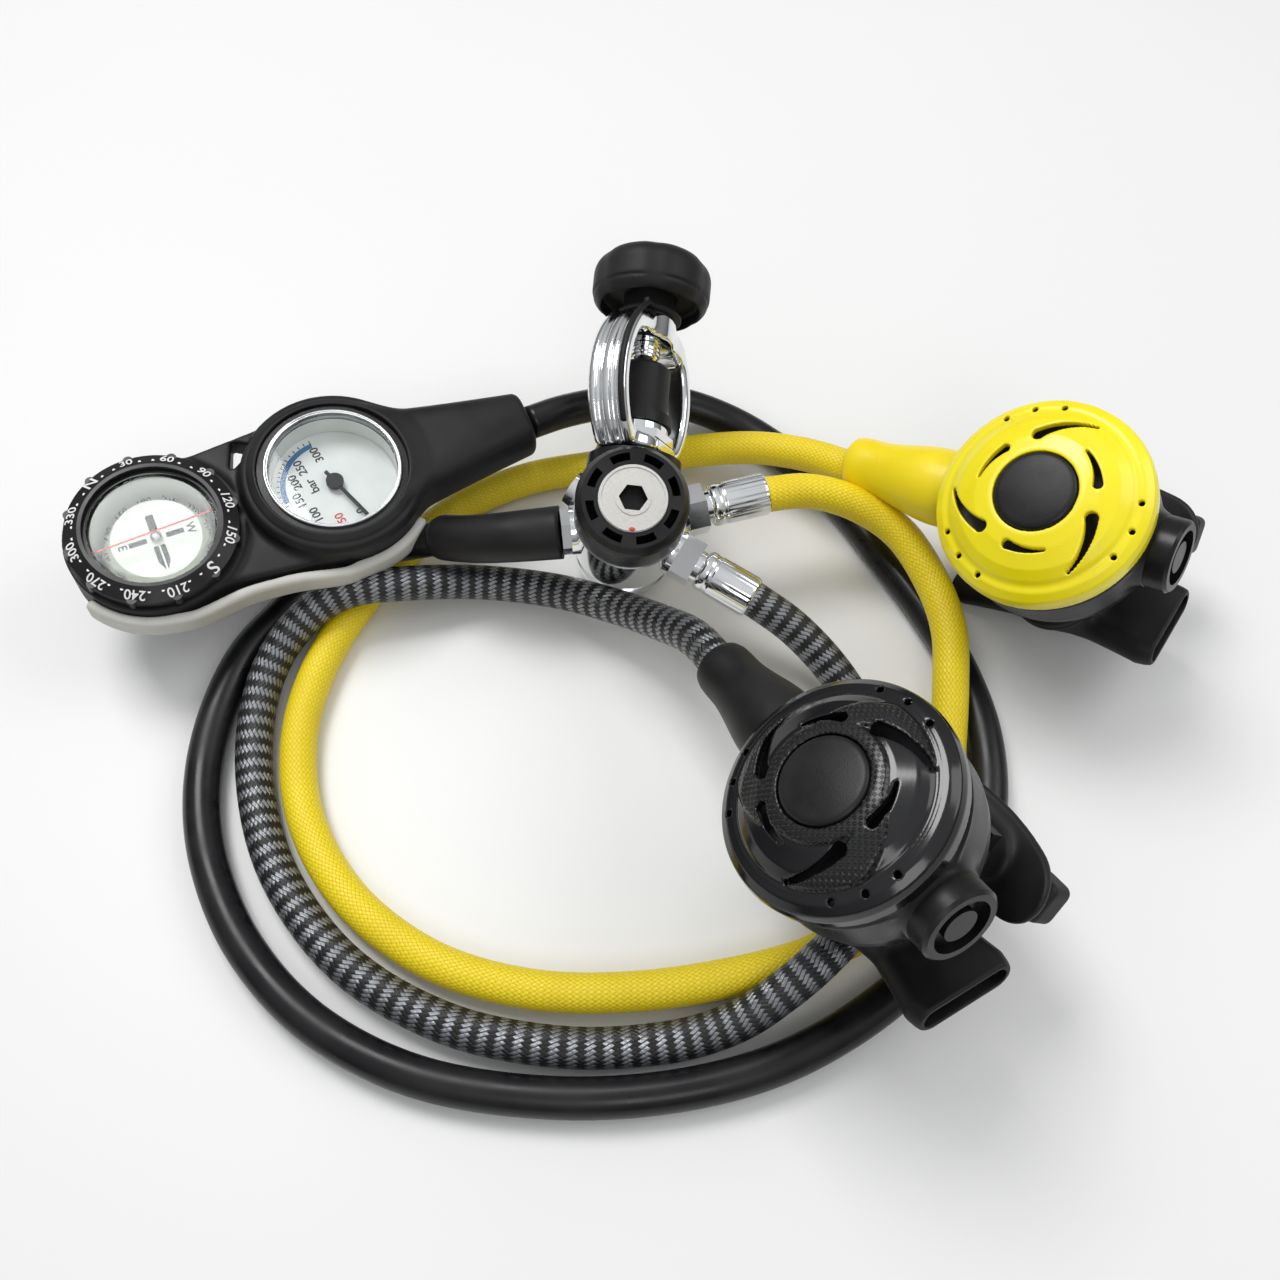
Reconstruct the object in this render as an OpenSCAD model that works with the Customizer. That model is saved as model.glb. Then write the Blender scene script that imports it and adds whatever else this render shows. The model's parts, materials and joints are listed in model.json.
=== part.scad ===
// Scuba regulator set: one first stage on a yoke, two second stages, a gauge and compass console,
// and the three hoses that join them, laid in a loop as they rest on a table.
// Millimetres, +Z up, origin under the middle of the set on the table.

/* [First stage] */
// Radius of the chromed body barrel
barrel_r = 18.5; // [17.5:0.5:19]
// Radius of the black diaphragm cap
cap_r = 18.2; // [17.8:0.1:18.4]
// Radius of the spring adjuster disc in the cap
adjuster_r = 10.8; // [10:0.1:11]
// Number of slots in the diaphragm cap
cap_slots = 8; // [6:1:10]

/* [Yoke] */
// Width of the yoke's arms
yoke_arm_w = 14; // [12:1:15]
// Radius of the yoke screw
screw_r = 5; // [4.8:0.05:5]
// Pitch of the yoke screw's thread
screw_pitch = 1.5; // [1.25:0.25:2]
// Radius of the hand knob
knob_r = 20.5; // [19:0.5:21]
// Radius of the dust cap
dust_cap_r = 9.5; // [9:0.5:10]

/* [Second stages] */
// Radius of the front cover
cover_r = 33; // [32.8:0.1:34]
// Radius of the purge button
button_r = 12.4; // [11.5:0.1:12.4]
// Half the width of the exhaust tee
tee_half = 36; // [34:1:38]
// Half the width of the mouthpiece's bite flange
bite_half = 33; // [30:1:34]

/* [Console] */
// Radius of the compass bezel
bezel_r = 27.3; // [26.5:0.1:27.6]
// Radius of the pressure gauge's dial
dial_r = 21; // [20:0.2:21.2]
// Length from the gauge's centre to the end of the handle
handle_l = 71; // [64:1:72]

/* [Hoses] */
// Radius of the hoses
hose_r = 6; // [5:0.25:6]
// Radius of the crimped ferrules
ferrule_r = 7.2; // [7:0.1:7.5]
// Sides of a hose's tube
hose_sides = 10; // [8:1:12]

/* [View] */
// Which node to draw

/* [Hidden] */
$fn = 64;

chrome = [0.86, 0.87, 0.88];
brass = [0.78, 0.62, 0.32];
black = [0.06, 0.06, 0.065];
soft_black = [0.11, 0.11, 0.12];
yellow = [0.98, 0.86, 0.05];
cream = [0.93, 0.93, 0.86];
light_grey = [0.80, 0.80, 0.77];
clear = [0.8, 0.9, 0.95, 0.35];

// where the four assemblies stand, and which way they face
to_origin = [-1.8, 14.3, 0];
first_at = [-4, 23, 36.9];
first_turn = [19, 5, -4];
primary_at = [50.5, -96.5, 88];
primary_turn = [24, -19, -60];
octopus_at = [123, 7, 72.3];
octopus_turn = [27, -18, -36];
console_at = [-158, 14, 51];
console_turn = [9, 5, 26];

// first stage, in its own frame: Z up to the cap, Y out to the yoke
body_top = 14;
diaphragm_t = 1;
cap_top = 31.5;
base_z = -31;
plug_t = 3.5;
port_end = 19.5;
octopus_port = 20;
primary_port = -25;
gauge_port = 192;
plug_port = 151;
nut_l = 7;
ferrule_from = port_end + nut_l + 2;
ferrule_l = 20;

// yoke, in its own frame: Y along the screw, X across the arms
yoke_roll = 60;
yoke_base = 23;
yoke_in = 28.5;
yoke_out = 65.5;
yoke_end = 73;
arm_circle = 34;
arm_offset = 8;
arm_mid = 47;
arm_t = 5;
retainer_end = 34;
tip_y = 56.5;
knob_from = 76;
knob_l = 20;

// second stage, in its own frame: Z out of the cover, X to the side cap, -X to the hose
slot_bend = 18;
primary_pattern = -18;
case_r = 31.5;
case_back = -38;
barrel_z = -18;
sleeve_end = -75;
mouth_tilt = 20;
mouth_y = 10;
lever_x = 6;
lever_z = -13;
lever_l = 15;
lever_rise = 27;
tee_top = [3, -66];
tee_low = [-29, -52];

// console, in its own frame: origin on the compass, X to the handle, Z out of the dials
gauge_x = 61;
gauge_out_r = 31;
handle_z = -10;
compass_out_r = 28.6;

// hose routes, chosen by hand
octopus_route = [[42, 35, 38], [58, 38, 36], [75, 36, 31], [90, 27, 26], [100, 10, 21],
    [104, -7, 18.5], [103, -25, 15.5], [101, -44, 10], [98, -62, 6], [89, -84, 6], [74, -102, 6],
    [52, -114, 6], [26, -121, 6], [-4, -125, 6], [-34, -124, 6], [-64, -115, 6], [-90, -96, 6],
    [-107, -70, 6], [-113, -42, 6], [-110, -16, 6], [-100, 9, 6], [-84, 34, 6], [-66, 53, 6],
    [-42, 66, 6], [-15, 72, 6], [14, 75, 10], [40, 72, 17], [60, 64, 23], [76, 52, 29.5]];
primary_route = [[37, 1, 27], [52, -8, 21], [66, -22, 14], [76, -40, 8], [80, -58, 6],
    [77, -75, 9], [72, -91, 15], [66, -105, 18], [55, -117, 18.4], [42, -127, 14.5],
    [27, -135, 8.5], [6, -140, 6], [-24, -141, 6], [-58, -134, 6], [-90, -116, 6], [-114, -87, 6],
    [-126, -54, 6], [-127, -24, 8.5], [-118, -4, 14], [-102, 8, 18.6], [-81, 13, 16.5],
    [-56, 17, 11], [-30, 13, 12], [-8, 1.5, 20], [7, -12, 32], [17, -24, 43], [25.5, -38.5, 49]];
protector_route = [[-26.5, 20, 37.3], [-42, 19.5, 35.5], [-56, 22, 30.5], [-70, 27, 24.3]];
gauge_route = [[-68, 26.3, 25.2], [-83, 28, 18.7], [-97, 27, 16.6], [-111, 20, 11], [-124, 8, 6.5],
    [-136, -10, 6], [-142, -34, 6], [-142, -60, 6], [-135, -86, 6], [-120, -112, 6],
    [-97, -134, 6], [-66, -149, 6], [-30, -155, 6], [6, -154, 6], [40, -146, 6], [70, -130, 6],
    [92, -110, 6], [106, -86, 6], [113, -62, 6], [114, -38, 6], [109, -14, 6], [100, 8, 6],
    [88, 30, 6], [74, 54, 6], [56, 76, 6], [36, 91, 8], [14, 97, 13], [-6, 91, 21],
    [-26, 80.5, 28], [-40, 73.2, 29.6]];

// ---- tubes ----
// unit vector
function unit(v) = v / norm(v);
// direction of a route at point i
function along(route, i) = unit(route[min(i + 1, len(route) - 1)] - route[max(i - 1, 0)]);
// a side direction square to t
function square_to(t) = unit(cross(abs(t[2]) > 0.9 ? [1, 0, 0] : [0, 0, 1], t));
// ring of points of radius r around point i
function ring_at(route, i, r, sides) =
    let (t = along(route, i), a = square_to(t), b = cross(t, a))
    [for (k = [0:sides - 1]) route[i] + r * (cos(360 * k / sides) * a + sin(360 * k / sides) * b)];

module tube(route, r, r_end, sides) {
    n = len(route);
    points = [for (i = [0:n - 1]) each ring_at(route, i, r + (r_end - r) * i / (n - 1), sides)];
    quads = [for (i = [0:n - 2], k = [0:sides - 1])
        let (p = i * sides + k, q = i * sides + (k + 1) % sides) [p, p + sides, q + sides, q]];
    start = [for (k = [0:sides - 1]) k];
    end = [for (k = [sides - 1:-1:0]) (n - 1) * sides + k];
    polyhedron(points, concat([start, end], quads), convexity = 6);
}

module oval(r, half) {
    for (s = [-1, 1]) translate([s * half, 0]) circle(r);
    square([2 * half, 2 * r], center = true);
}

module oval_prism(r, half, h) {
    linear_extrude(h) oval(r, half);
}

// a cylinder along +Y or +X from one place to another
module along_y(r, from, to, r2) {
    translate([0, from, 0]) rotate([-90, 0, 0]) cylinder(h = to - from, r1 = r, r2 = r2 ? r2 : r);
}
module along_x(r, from, to, r2) {
    translate([from, 0, 0]) rotate([0, 90, 0]) cylinder(h = to - from, r1 = r, r2 = r2 ? r2 : r);
}

// ---- placing ----
module on_first() translate(to_origin + first_at) rotate(first_turn) children();
module on_port(angle) on_first() rotate([0, 0, angle]) children();
module on_yoke() on_first() rotate([0, yoke_roll, 0]) children();
module on_primary() translate(to_origin + primary_at) rotate(primary_turn) children();
module on_octopus() translate(to_origin + octopus_at) rotate(octopus_turn) children();
module on_console() translate(to_origin + console_at) rotate(console_turn) children();
module on_gauge() on_console() translate([gauge_x, 0, 0]) children();
module on_table() translate(to_origin) children();

// ---- first stage ----
module first_stage_body() color(chrome) on_first() difference() {
    union() {
        translate([0, 0, -14]) cylinder(h = 14 + body_top, r = barrel_r);
        translate([0, 0, -27]) cylinder(h = 14, r = 16);
        translate([0, 0, base_z]) cylinder(h = 4, r = 17.5);
        along_y(12, 0, yoke_base - 0.3);
        for (a = [octopus_port, primary_port, gauge_port, plug_port])
            rotate([0, 0, a]) along_x(8, 10, port_end);
    }
    translate([0, 0, body_top - diaphragm_t]) cylinder(h = 2, r = 17);
    translate([0, 0, 8]) cylinder(h = 6, r = 12.5);
    translate([0, 0, -9]) cylinder(h = 18, r = 2);
    translate([0, 0, base_z - 1]) cylinder(h = 24, r = 8);
    along_y(6.6, 10, yoke_base + 1);
    along_y(3, 4, 12);
    for (a = [octopus_port, primary_port, gauge_port, plug_port])
        rotate([0, 0, a]) along_x(5, 12.5, port_end + 1);
}

module diaphragm_cap() color(black) on_first() difference() {
    union() {
        translate([0, 0, body_top]) cylinder(h = 14, r = cap_r);
        translate([0, 0, 28]) cylinder(h = 1.5, r1 = cap_r, r2 = cap_r - 0.6);
        translate([0, 0, 29.5]) cylinder(h = cap_top - 29.5, r1 = cap_r - 0.6, r2 = cap_r - 2);
    }
    translate([0, 0, body_top - 1]) cylinder(h = 14, r = 16);
    translate([0, 0, 20]) cylinder(h = 20, r = 11.1);
    for (i = [0:cap_slots - 1]) rotate([0, 0, (i + 0.5) * 360 / cap_slots - 13])
        translate([0, 0, 26]) rotate_extrude(angle = 26) translate([12.4, 0]) square([2.6, 8]);
}

module spring_adjuster() color(chrome) on_first() difference() {
    union() {
        translate([0, 0, 25]) cylinder(h = 6.4, r = 11);
        translate([0, 0, 31.4]) cylinder(h = 0.8, r = adjuster_r);
    }
    translate([0, 0, 27]) cylinder(h = 8, r = 4.6, $fn = 6);
    translate([0, 0, 24]) cylinder(h = 2.4, r = 9.4);
    translate([0, 0, 31.8]) difference() {
        cylinder(h = 1, r = adjuster_r - 0.8);
        translate([0, 0, -1]) cylinder(h = 3, r = 5.6);
    }
}

module main_spring() color([0.7, 0.71, 0.73]) {
    turns = 4;
    steps = 14;
    low = body_top + 1.4;
    high = 25.1;
    coil = [for (i = [0:turns * steps]) let (a = i * 360 / steps)
        [7.6 * cos(a), 7.6 * sin(a), low + (high - low) * i / (turns * steps)]];
    on_first() tube(coil, 1.1, 1.1, 6);
}

module main_diaphragm() color(soft_black) on_first()
    translate([0, 0, body_top - diaphragm_t]) cylinder(h = diaphragm_t, r = 16.9);

module valve_pin() color(brass) on_first() {
    translate([0, 0, -8.6]) cylinder(h = 21, r = 1.4);
    translate([0, 0, 10.8]) cylinder(h = 1.9, r = 6);
}

module inlet_poppet() color(brass) on_first() {
    translate([0, 0, -22]) cylinder(h = 8, r = 4);
    translate([0, 0, -15]) cylinder(h = 5.4, r = 6);
    translate([0, 0, -9.6]) cylinder(h = 1, r = 1.6);
}

module base_plug() color(chrome) on_first() difference() {
    union() {
        translate([0, 0, base_z - plug_t]) cylinder(h = plug_t, r = 13);
        translate([0, 0, base_z]) cylinder(h = 5, r = 7.9);
    }
    translate([0, 0, base_z - plug_t - 1]) cylinder(h = 3.5, r = 4.6, $fn = 6);
    translate([0, 0, base_z + 1]) cylinder(h = 6, r = 5.2);
}

module neck_ring() color(soft_black) on_first() difference() {
    along_y(16, 18.8, 22.6);
    along_y(12.05, 18, 24);
    translate([0, 0, -20]) cylinder(h = 40, r = barrel_r + 0.1);
}

module yoke_retainer() color(chrome) on_first() difference() {
    union() {
        along_y(6.5, 14, yoke_in);
        along_y(8, yoke_base, yoke_in);
        translate([0, yoke_in, 0]) rotate([-90, 0, 0]) cylinder(h = 3, r = 12.4, $fn = 6);
        along_y(10.5, yoke_in + 2.9, retainer_end);
    }
    along_y(4.4, 13, 40);
    translate([0, retainer_end - 1.2, 0]) rotate([-90, 0, 0]) difference() {
        cylinder(h = 3, r = 8.4);
        translate([0, 0, -1]) cylinder(h = 5, r = 6.2);
    }
}

module inlet_filter() color(brass) on_first() difference() {
    along_y(4.3, 22, 31, 2);
    along_y(3, 21, 28, 1);
}

module yoke() color(chrome) on_yoke() difference() {
    union() {
        translate([0, 0, -yoke_arm_w / 2]) linear_extrude(yoke_arm_w) difference() {
            intersection() {
                translate([-arm_offset, arm_mid]) circle(arm_circle, $fn = 96);
                translate([arm_offset, arm_mid]) circle(arm_circle, $fn = 96);
                translate([-40, yoke_base]) square([80, yoke_end - yoke_base]);
            }
            intersection() {
                translate([-arm_offset, arm_mid]) circle(arm_circle - arm_t, $fn = 96);
                translate([arm_offset, arm_mid]) circle(arm_circle - arm_t, $fn = 96);
                translate([-40, yoke_in]) square([80, yoke_out - yoke_in]);
            }
        }
        along_y(14.5, yoke_base, yoke_in);
        along_y(9.5, yoke_out, yoke_end + 1);
    }
    along_y(8.05, yoke_base - 1, yoke_in + 1);
    along_y(screw_r + 0.08, yoke_out - 1, yoke_end + 2);
}

module yoke_screw() color(chrome) on_yoke() {
    along_y(screw_r - 0.6, tip_y + 3, knob_from + 8);
    along_y(2.5, tip_y, tip_y + 3, screw_r - 0.6);
    for (i = [0:12]) let (y = tip_y + 4 + i * screw_pitch)
        along_y(screw_r, y, y + screw_pitch / 2);
    along_y(screw_r, knob_from - 0.5, knob_from + 8);
}

module yoke_knob() color(black) on_yoke() difference() {
    translate([0, knob_from, 0]) rotate([-90, 0, 0]) difference() {
        union() {
            cylinder(h = 3, r1 = knob_r - 1.5, r2 = knob_r);
            translate([0, 0, 3]) cylinder(h = knob_l - 9, r = knob_r);
            translate([0, 0, knob_l - 6]) cylinder(h = 4, r1 = knob_r, r2 = knob_r - 3);
            translate([0, 0, knob_l - 2]) cylinder(h = 2, r1 = knob_r - 3, r2 = knob_r - 8);
        }
        translate([0, 0, -1]) difference() {
            cylinder(h = 7, r = knob_r - 3.5);
            translate([0, 0, -1]) cylinder(h = 9, r = 9);
        }
    }
    along_y(screw_r + 0.06, knob_from - 1, knob_from + 8.05);
}

module dust_cap() color(black) on_yoke() difference() {
    union() {
        along_y(dust_cap_r + 2, retainer_end + 0.3, retainer_end + 4);
        along_y(dust_cap_r, retainer_end + 3.9, tip_y - 1.5);
        along_y(dust_cap_r, tip_y - 1.5, tip_y - 0.3, dust_cap_r - 1);
    }
    along_y(8, retainer_end - 1, retainer_end + 2.5);
}

module dust_cap_strap() color(soft_black) on_yoke() {
    difference() {
        along_y(11.5, yoke_end + 1.1, yoke_end + 2.6);
        along_y(screw_r + 0.4, yoke_end, yoke_end + 4);
    }
    translate([0, 0, 2]) linear_extrude(5) intersection() {
        difference() {
            translate([arm_offset, arm_mid]) circle(arm_circle + 1.5, $fn = 96);
            translate([arm_offset, arm_mid]) circle(arm_circle + 0.1, $fn = 96);
        }
        translate([-40, yoke_in]) square([31, yoke_end + 2.6 - yoke_in]);
    }
    translate([-14.6, yoke_end + 1.1, 2]) cube([6, 1.5, 5]);
}

module port_plug() color(chrome) on_port(plug_port) difference() {
    union() {
        along_x(4.9, 13, port_end);
        along_x(6.2, port_end, port_end + 3.4);
    }
    translate([port_end + 1, 0, 0]) rotate([0, 90, 0]) cylinder(h = 5, r = 2.9, $fn = 6);
}

// ---- hoses ----
module primary_hose() color(soft_black) on_table() tube(primary_route, hose_r, hose_r, hose_sides);
module octopus_hose() color(yellow) on_table() tube(octopus_route, hose_r, hose_r, hose_sides);
module gauge_hose() color(soft_black) on_table() tube(gauge_route, hose_r, hose_r, hose_sides);
module gauge_protector() color(black) on_table() tube(protector_route, 9, 7.4, 12);

module hose_fitting(nut_r) difference() {
    union() {
        along_x(4.9, 13, port_end);
        translate([port_end, 0, 0]) rotate([0, 90, 0]) cylinder(h = nut_l, r = nut_r, $fn = 6);
        along_x(5.6, port_end + nut_l, ferrule_from);
    }
    along_x(2, 12, ferrule_from + 1);
}
module primary_fitting() color(chrome) on_port(primary_port) hose_fitting(8.2);
module octopus_fitting() color(chrome) on_port(octopus_port) hose_fitting(8.8);
module gauge_fitting() color(chrome) on_port(gauge_port) difference() {
    union() {
        along_x(4.9, 13, port_end);
        translate([port_end, 0, 0]) rotate([0, 90, 0]) cylinder(h = 3, r = 8, $fn = 6);
    }
    along_x(1.5, 12, port_end + 4);
}

module ferrule() difference() {
    union() {
        along_x(ferrule_r - 0.8, ferrule_from, ferrule_from + 1, ferrule_r);
        along_x(ferrule_r, ferrule_from + 1, ferrule_from + ferrule_l);
    }
    along_x(2.5, ferrule_from - 1, ferrule_from + ferrule_l - 4);
}
module primary_ferrule() color(chrome) on_port(primary_port) ferrule();
module octopus_ferrule() color(chrome) on_port(octopus_port) ferrule();

module hose_sleeve() translate([0, 0, barrel_z]) difference() {
    union() {
        along_x(8, sleeve_end, sleeve_end + 4, 9);
        along_x(9, sleeve_end + 4, -40, 13);
        along_x(13, -40, -34);
    }
    along_x(5, -60, -33);
}
module primary_sleeve() color(black) on_primary() hose_sleeve();
module octopus_sleeve() color(yellow) on_octopus() hose_sleeve();

// ---- second stages ----
module mouth_place(down) translate([0, mouth_y, case_back + 1]) rotate([mouth_tilt, 0, 0])
    translate([0, 0, -down]) children();

module case() difference() {
    union() {
        translate([0, 0, -26]) cylinder(h = 22, r = case_r);
        translate([0, 0, case_back]) cylinder(h = 12.01, r1 = 25, r2 = case_r);
        translate([0, 0, barrel_z]) along_x(11.5, -33.7, 33);
        mouth_place(9) oval_prism(8, 6, 12);
        translate([0, -14, case_back - 1.5]) cylinder(h = 3, r = 10.5);
    }
    translate([0, 0, -26]) cylinder(h = 30, r = 29);
    translate([0, 0, case_back + 2.5]) cylinder(h = 9.6, r1 = 22, r2 = 29);
    translate([0, 0, barrel_z]) along_x(7.6, -36, 36);
    mouth_place(12) oval_prism(6.2, 6, 18);
    translate([0, -14, case_back - 3]) difference() {
        cylinder(h = 8, r = 8.5);
        cylinder(h = 8, r = 2);
        for (a = [30:120:270]) rotate([0, 0, a]) translate([0, -0.8, 0]) cube([9, 1.6, 8]);
    }
}
module primary_case() color(black) on_primary() case();
module octopus_case() color(black) on_octopus() case();

// a slot pointed at both ends, w wide at its middle, its sides bent to radius bend
module swirl_slot(r, w, tilt, a) rotate([0, 0, a]) translate([r, 0, 0]) rotate([0, 0, tilt])
    linear_extrude(20, center = true) intersection() {
        translate([w - slot_bend, 0]) circle(slot_bend);
        translate([slot_bend, 0]) circle(slot_bend);
    }

module cover() difference() {
    union() {
        translate([0, 0, -5]) cylinder(h = 4, r = cover_r);
        translate([0, 0, -1]) cylinder(h = 3, r1 = cover_r, r2 = cover_r - 1.5);
        translate([0, 0, 2]) cylinder(h = 5, r1 = cover_r - 1.5, r2 = 24);
        translate([0, 0, 7]) cylinder(h = 3, r1 = 24, r2 = 14.5);
    }
    translate([0, 0, -6]) cylinder(h = 7, r = case_r + 0.1);
    translate([0, 0, 0.99]) cylinder(h = 4, r1 = 28.5, r2 = 22);
    translate([0, 0, 4.98]) cylinder(h = 2.6, r1 = 22, r2 = 15);
    translate([0, 0, -6]) cylinder(h = 20, r = button_r + 0.4);
    for (i = [0:2]) rotate([0, 0, i * 120]) {
        swirl_slot(21, 3.2, 24, 92);
        swirl_slot(16.5, 2.2, 6, 41);
        for (j = [-1:1]) rotate([0, 0, 116 + j * 17.5])
            translate([29.3, 0, -7]) cylinder(h = 20, r = 1);
    }
}
module primary_cover() color(black) on_primary() rotate([0, 0, primary_pattern]) cover();
module octopus_cover() color(yellow) on_octopus() cover();

module purge_button() {
    translate([0, 0, 5.5]) cylinder(h = 4.5, r = button_r);
    translate([0, 0, 10]) cylinder(h = 1.2, r1 = button_r, r2 = button_r - 3);
    translate([0, 0, 5.5]) cylinder(h = 0.9, r = 14.2);
    translate([0, 0, -1.4]) cylinder(h = 7, r = 3);
}
module primary_purge_button() color(black) on_primary() purge_button();
module octopus_purge_button() color(black) on_octopus() purge_button();

module diaphragm() {
    translate([0, 0, -3.4]) cylinder(h = 0.8, r = 28.4);
    translate([0, 0, -4.4]) cylinder(h = 1.2, r = 13);
    translate([0, 0, -2.7]) cylinder(h = 1, r = 10);
}
module primary_diaphragm() color(soft_black) on_primary() diaphragm();
module octopus_diaphragm() color(soft_black) on_octopus() diaphragm();

module demand_lever() {
    translate([lever_x, 0, lever_z]) {
        rotate([90, 0, 0]) cylinder(h = 3, r = 1.3, center = true);
        rotate([0, lever_rise, 0]) translate([-lever_l, -1.5, -0.6]) cube([lever_l, 3, 1.2]);
        rotate([0, lever_rise, 0]) translate([-lever_l - 1.5, -2.5, -0.9]) cube([3, 5, 1.8]);
        translate([-0.8, -1.2, -2.7]) cube([1.6, 2.4, 3]);
    }
}
module primary_demand_lever() color(chrome) on_primary() demand_lever();
module octopus_demand_lever() color(chrome) on_octopus() demand_lever();

module valve_barrel() translate([0, 0, barrel_z]) difference() {
    along_x(7.5, -33, 32);
    along_x(5.1, -30, 30);
    along_x(3, -34, -29);
    translate([-9, -2.2, 1]) cube([19, 4.4, 8]);
}
module primary_valve_barrel() color(brass) on_primary() valve_barrel();
module octopus_valve_barrel() color(brass) on_octopus() valve_barrel();

module poppet() translate([0, 0, barrel_z]) difference() {
    union() {
        along_x(4.2, -28, -23);
        along_x(2.1, -23.1, 16);
        along_x(3.8, 7.1, 16);
    }
    along_x(1, -24, 17);
}
module primary_poppet() color(soft_black) on_primary() poppet();
module octopus_poppet() color(soft_black) on_octopus() poppet();

module side_cap() translate([0, 0, barrel_z]) difference() {
    union() {
        along_x(11.5, 33.1, 39);
        along_x(11.5, 39, 40, 10.6);
        along_x(5, 32.1, 34);
    }
    difference() {
        along_x(8.6, 37, 42);
        along_x(5, 36, 39.4);
    }
}
module primary_side_cap() color(black) on_primary() side_cap();
module octopus_side_cap() color(black) on_octopus() side_cap();

// the duct's slot lies between two points of the Y-Z plane
module tee_slab(t, half) {
    span = tee_top - tee_low;
    mid = (tee_top + tee_low) / 2;
    translate([-half, mid[0], mid[1]]) rotate([90, 0, 90]) rotate([0, 0, atan2(span[1], span[0])])
        oval_prism(t / 2, norm(span) / 2 - 4, 2 * half);
}
module below_tee() {
    span = tee_top - tee_low;
    mid = (tee_top + tee_low) / 2;
    translate([-50, mid[0], mid[1]]) rotate([90, 0, 90]) rotate([0, 0, atan2(span[1], span[0])])
        translate([-50, -60, 0]) cube([100, 60, 100]);
}
module exhaust_tee() difference() {
    union() {
        tee_slab(10, tee_half);
        difference() {
            translate([0, -14, -70]) cylinder(h = 30.3, r = 14);
            below_tee();
        }
    }
    tee_slab(6.5, tee_half + 1);
    difference() {
        translate([0, -14, -70]) cylinder(h = 32, r = 10.8);
        below_tee();
    }
}
module primary_exhaust_tee() color(soft_black) on_primary() exhaust_tee();
module octopus_exhaust_tee() color(soft_black) on_octopus() exhaust_tee();

module mouthpiece() mouth_place(35) difference() {
    union() {
        translate([0, 0, 10]) oval_prism(9.6, 6.4, 19.5);
        translate([0, 0, 6]) oval_prism(12, bite_half - 12, 5);
        for (s = [-1, 1]) translate([s * (bite_half - 7), 0, -1]) linear_extrude(7.5)
            square([12, 15], center = true);
    }
    translate([0, 0, -5]) oval_prism(6.2, 6, 32);
    translate([0, 0, 26]) oval_prism(8.1, 6, 8);
}
module primary_mouthpiece() color(soft_black) on_primary() mouthpiece();
module octopus_mouthpiece() color(soft_black) on_octopus() mouthpiece();

module mouthpiece_tie() mouth_place(11) difference() {
    union() {
        oval_prism(10.7, 6.4, 4.5);
        translate([10.5, 5.5, 0]) cube([6, 5.5, 4.5]);
    }
    translate([0, 0, -1]) oval_prism(9.6, 6.4, 7);
}
module primary_mouthpiece_tie() color(black) on_primary() mouthpiece_tie();
module octopus_mouthpiece_tie() color(black) on_octopus() mouthpiece_tie();

// ---- console ----
module boot_outline() {
    circle(compass_out_r);
    translate([gauge_x, 0]) circle(gauge_out_r);
    polygon([[5, -27], [gauge_x - 8, -29.5], [gauge_x - 8, 29.5], [5, 27]]);
}

module console_boot() color(soft_black) on_console() difference() {
    union() {
        translate([0, 0, -27]) cylinder(h = 5, r1 = compass_out_r - 4, r2 = compass_out_r);
        translate([0, 0, -22]) cylinder(h = 15.6, r = compass_out_r);
        translate([gauge_x, 0, -17]) cylinder(h = 6, r1 = 24.5, r2 = gauge_out_r);
        translate([gauge_x, 0, -11]) cylinder(h = 9, r = gauge_out_r);
        translate([gauge_x, 0, -2]) cylinder(h = 2.6, r1 = gauge_out_r - 1, r2 = 25.5);
        translate([0, 0, -16]) linear_extrude(9) difference() {
            polygon([[8, -25], [gauge_x - 8, -29.5], [gauge_x - 8, 29.5], [8, 25]]);
            polygon([[32.5, 14], [40.5, 20], [32.5, 22.5]]);
        }
        intersection() {
            translate([gauge_x, 0, handle_z]) along_x(21, 18, handle_l, 11.5);
            translate([gauge_x, -40, -17.5]) cube([80, 80, 18]);
        }
    }
    translate([0, 0, -24.6]) cylinder(h = 30, r = 24.7);
    translate([gauge_x, 0, -14.1]) cylinder(h = 30, r = 25.2);
    translate([gauge_x, 0, handle_z]) along_x(5, 20, 50);
}

module strip_outline(out) {
    circle(compass_out_r + out);
    translate([gauge_x, 0]) circle(gauge_out_r + out);
    polygon([[-2, -compass_out_r - out], [gauge_x - 3, -gauge_out_r - out],
        [gauge_x - 3, 0], [0, 0]]);
}

module console_strip() color(light_grey) on_console() translate([0, 0, -19]) linear_extrude(8)
    difference() {
        strip_outline(2.6);
        circle(compass_out_r);
        translate([gauge_x, 0]) circle(gauge_out_r);
        polygon([[8, -25], [gauge_x - 8, -29.5], [gauge_x - 8, 29.5], [8, 25]]);
        rotate(25) translate([-60, 0]) square([200, 60]);
        translate([0, 0]) square([200, 60]);
        translate([gauge_x, 0]) rotate(-42) translate([0, -60]) square([60, 120]);
    }

module gauge_case() color(black) on_gauge() difference() {
    translate([0, 0, -14]) cylinder(h = 13.5, r = 25);
    translate([0, 0, -12]) cylinder(h = 20, r = 21.4);
    translate([0, 0, -3]) cylinder(h = 20, r = 23);
}

module gauge_dial() color(cream) on_gauge() difference() {
    translate([0, 0, -12]) cylinder(h = 1, r = dial_r + 0.3);
    translate([0, 0, -13]) cylinder(h = 3, r = 1.2);
}

module gauge_needle() color(soft_black) on_gauge() rotate([0, 0, -70]) {
    translate([0, 0, -9.6]) cylinder(h = 1.4, r = 3);
    translate([0, 0, -11.8]) cylinder(h = 2.6, r = 1);
    translate([-5, -0.6, -9.2]) cube([22, 1.2, 0.7]);
}

module gauge_lens() color(clear) on_gauge() {
    translate([0, 0, -3]) cylinder(h = 1.8, r = 22.9);
    translate([0, 0, -1.3]) cylinder(h = 1.4, r1 = 22.9, r2 = 21.6);
}

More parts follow.
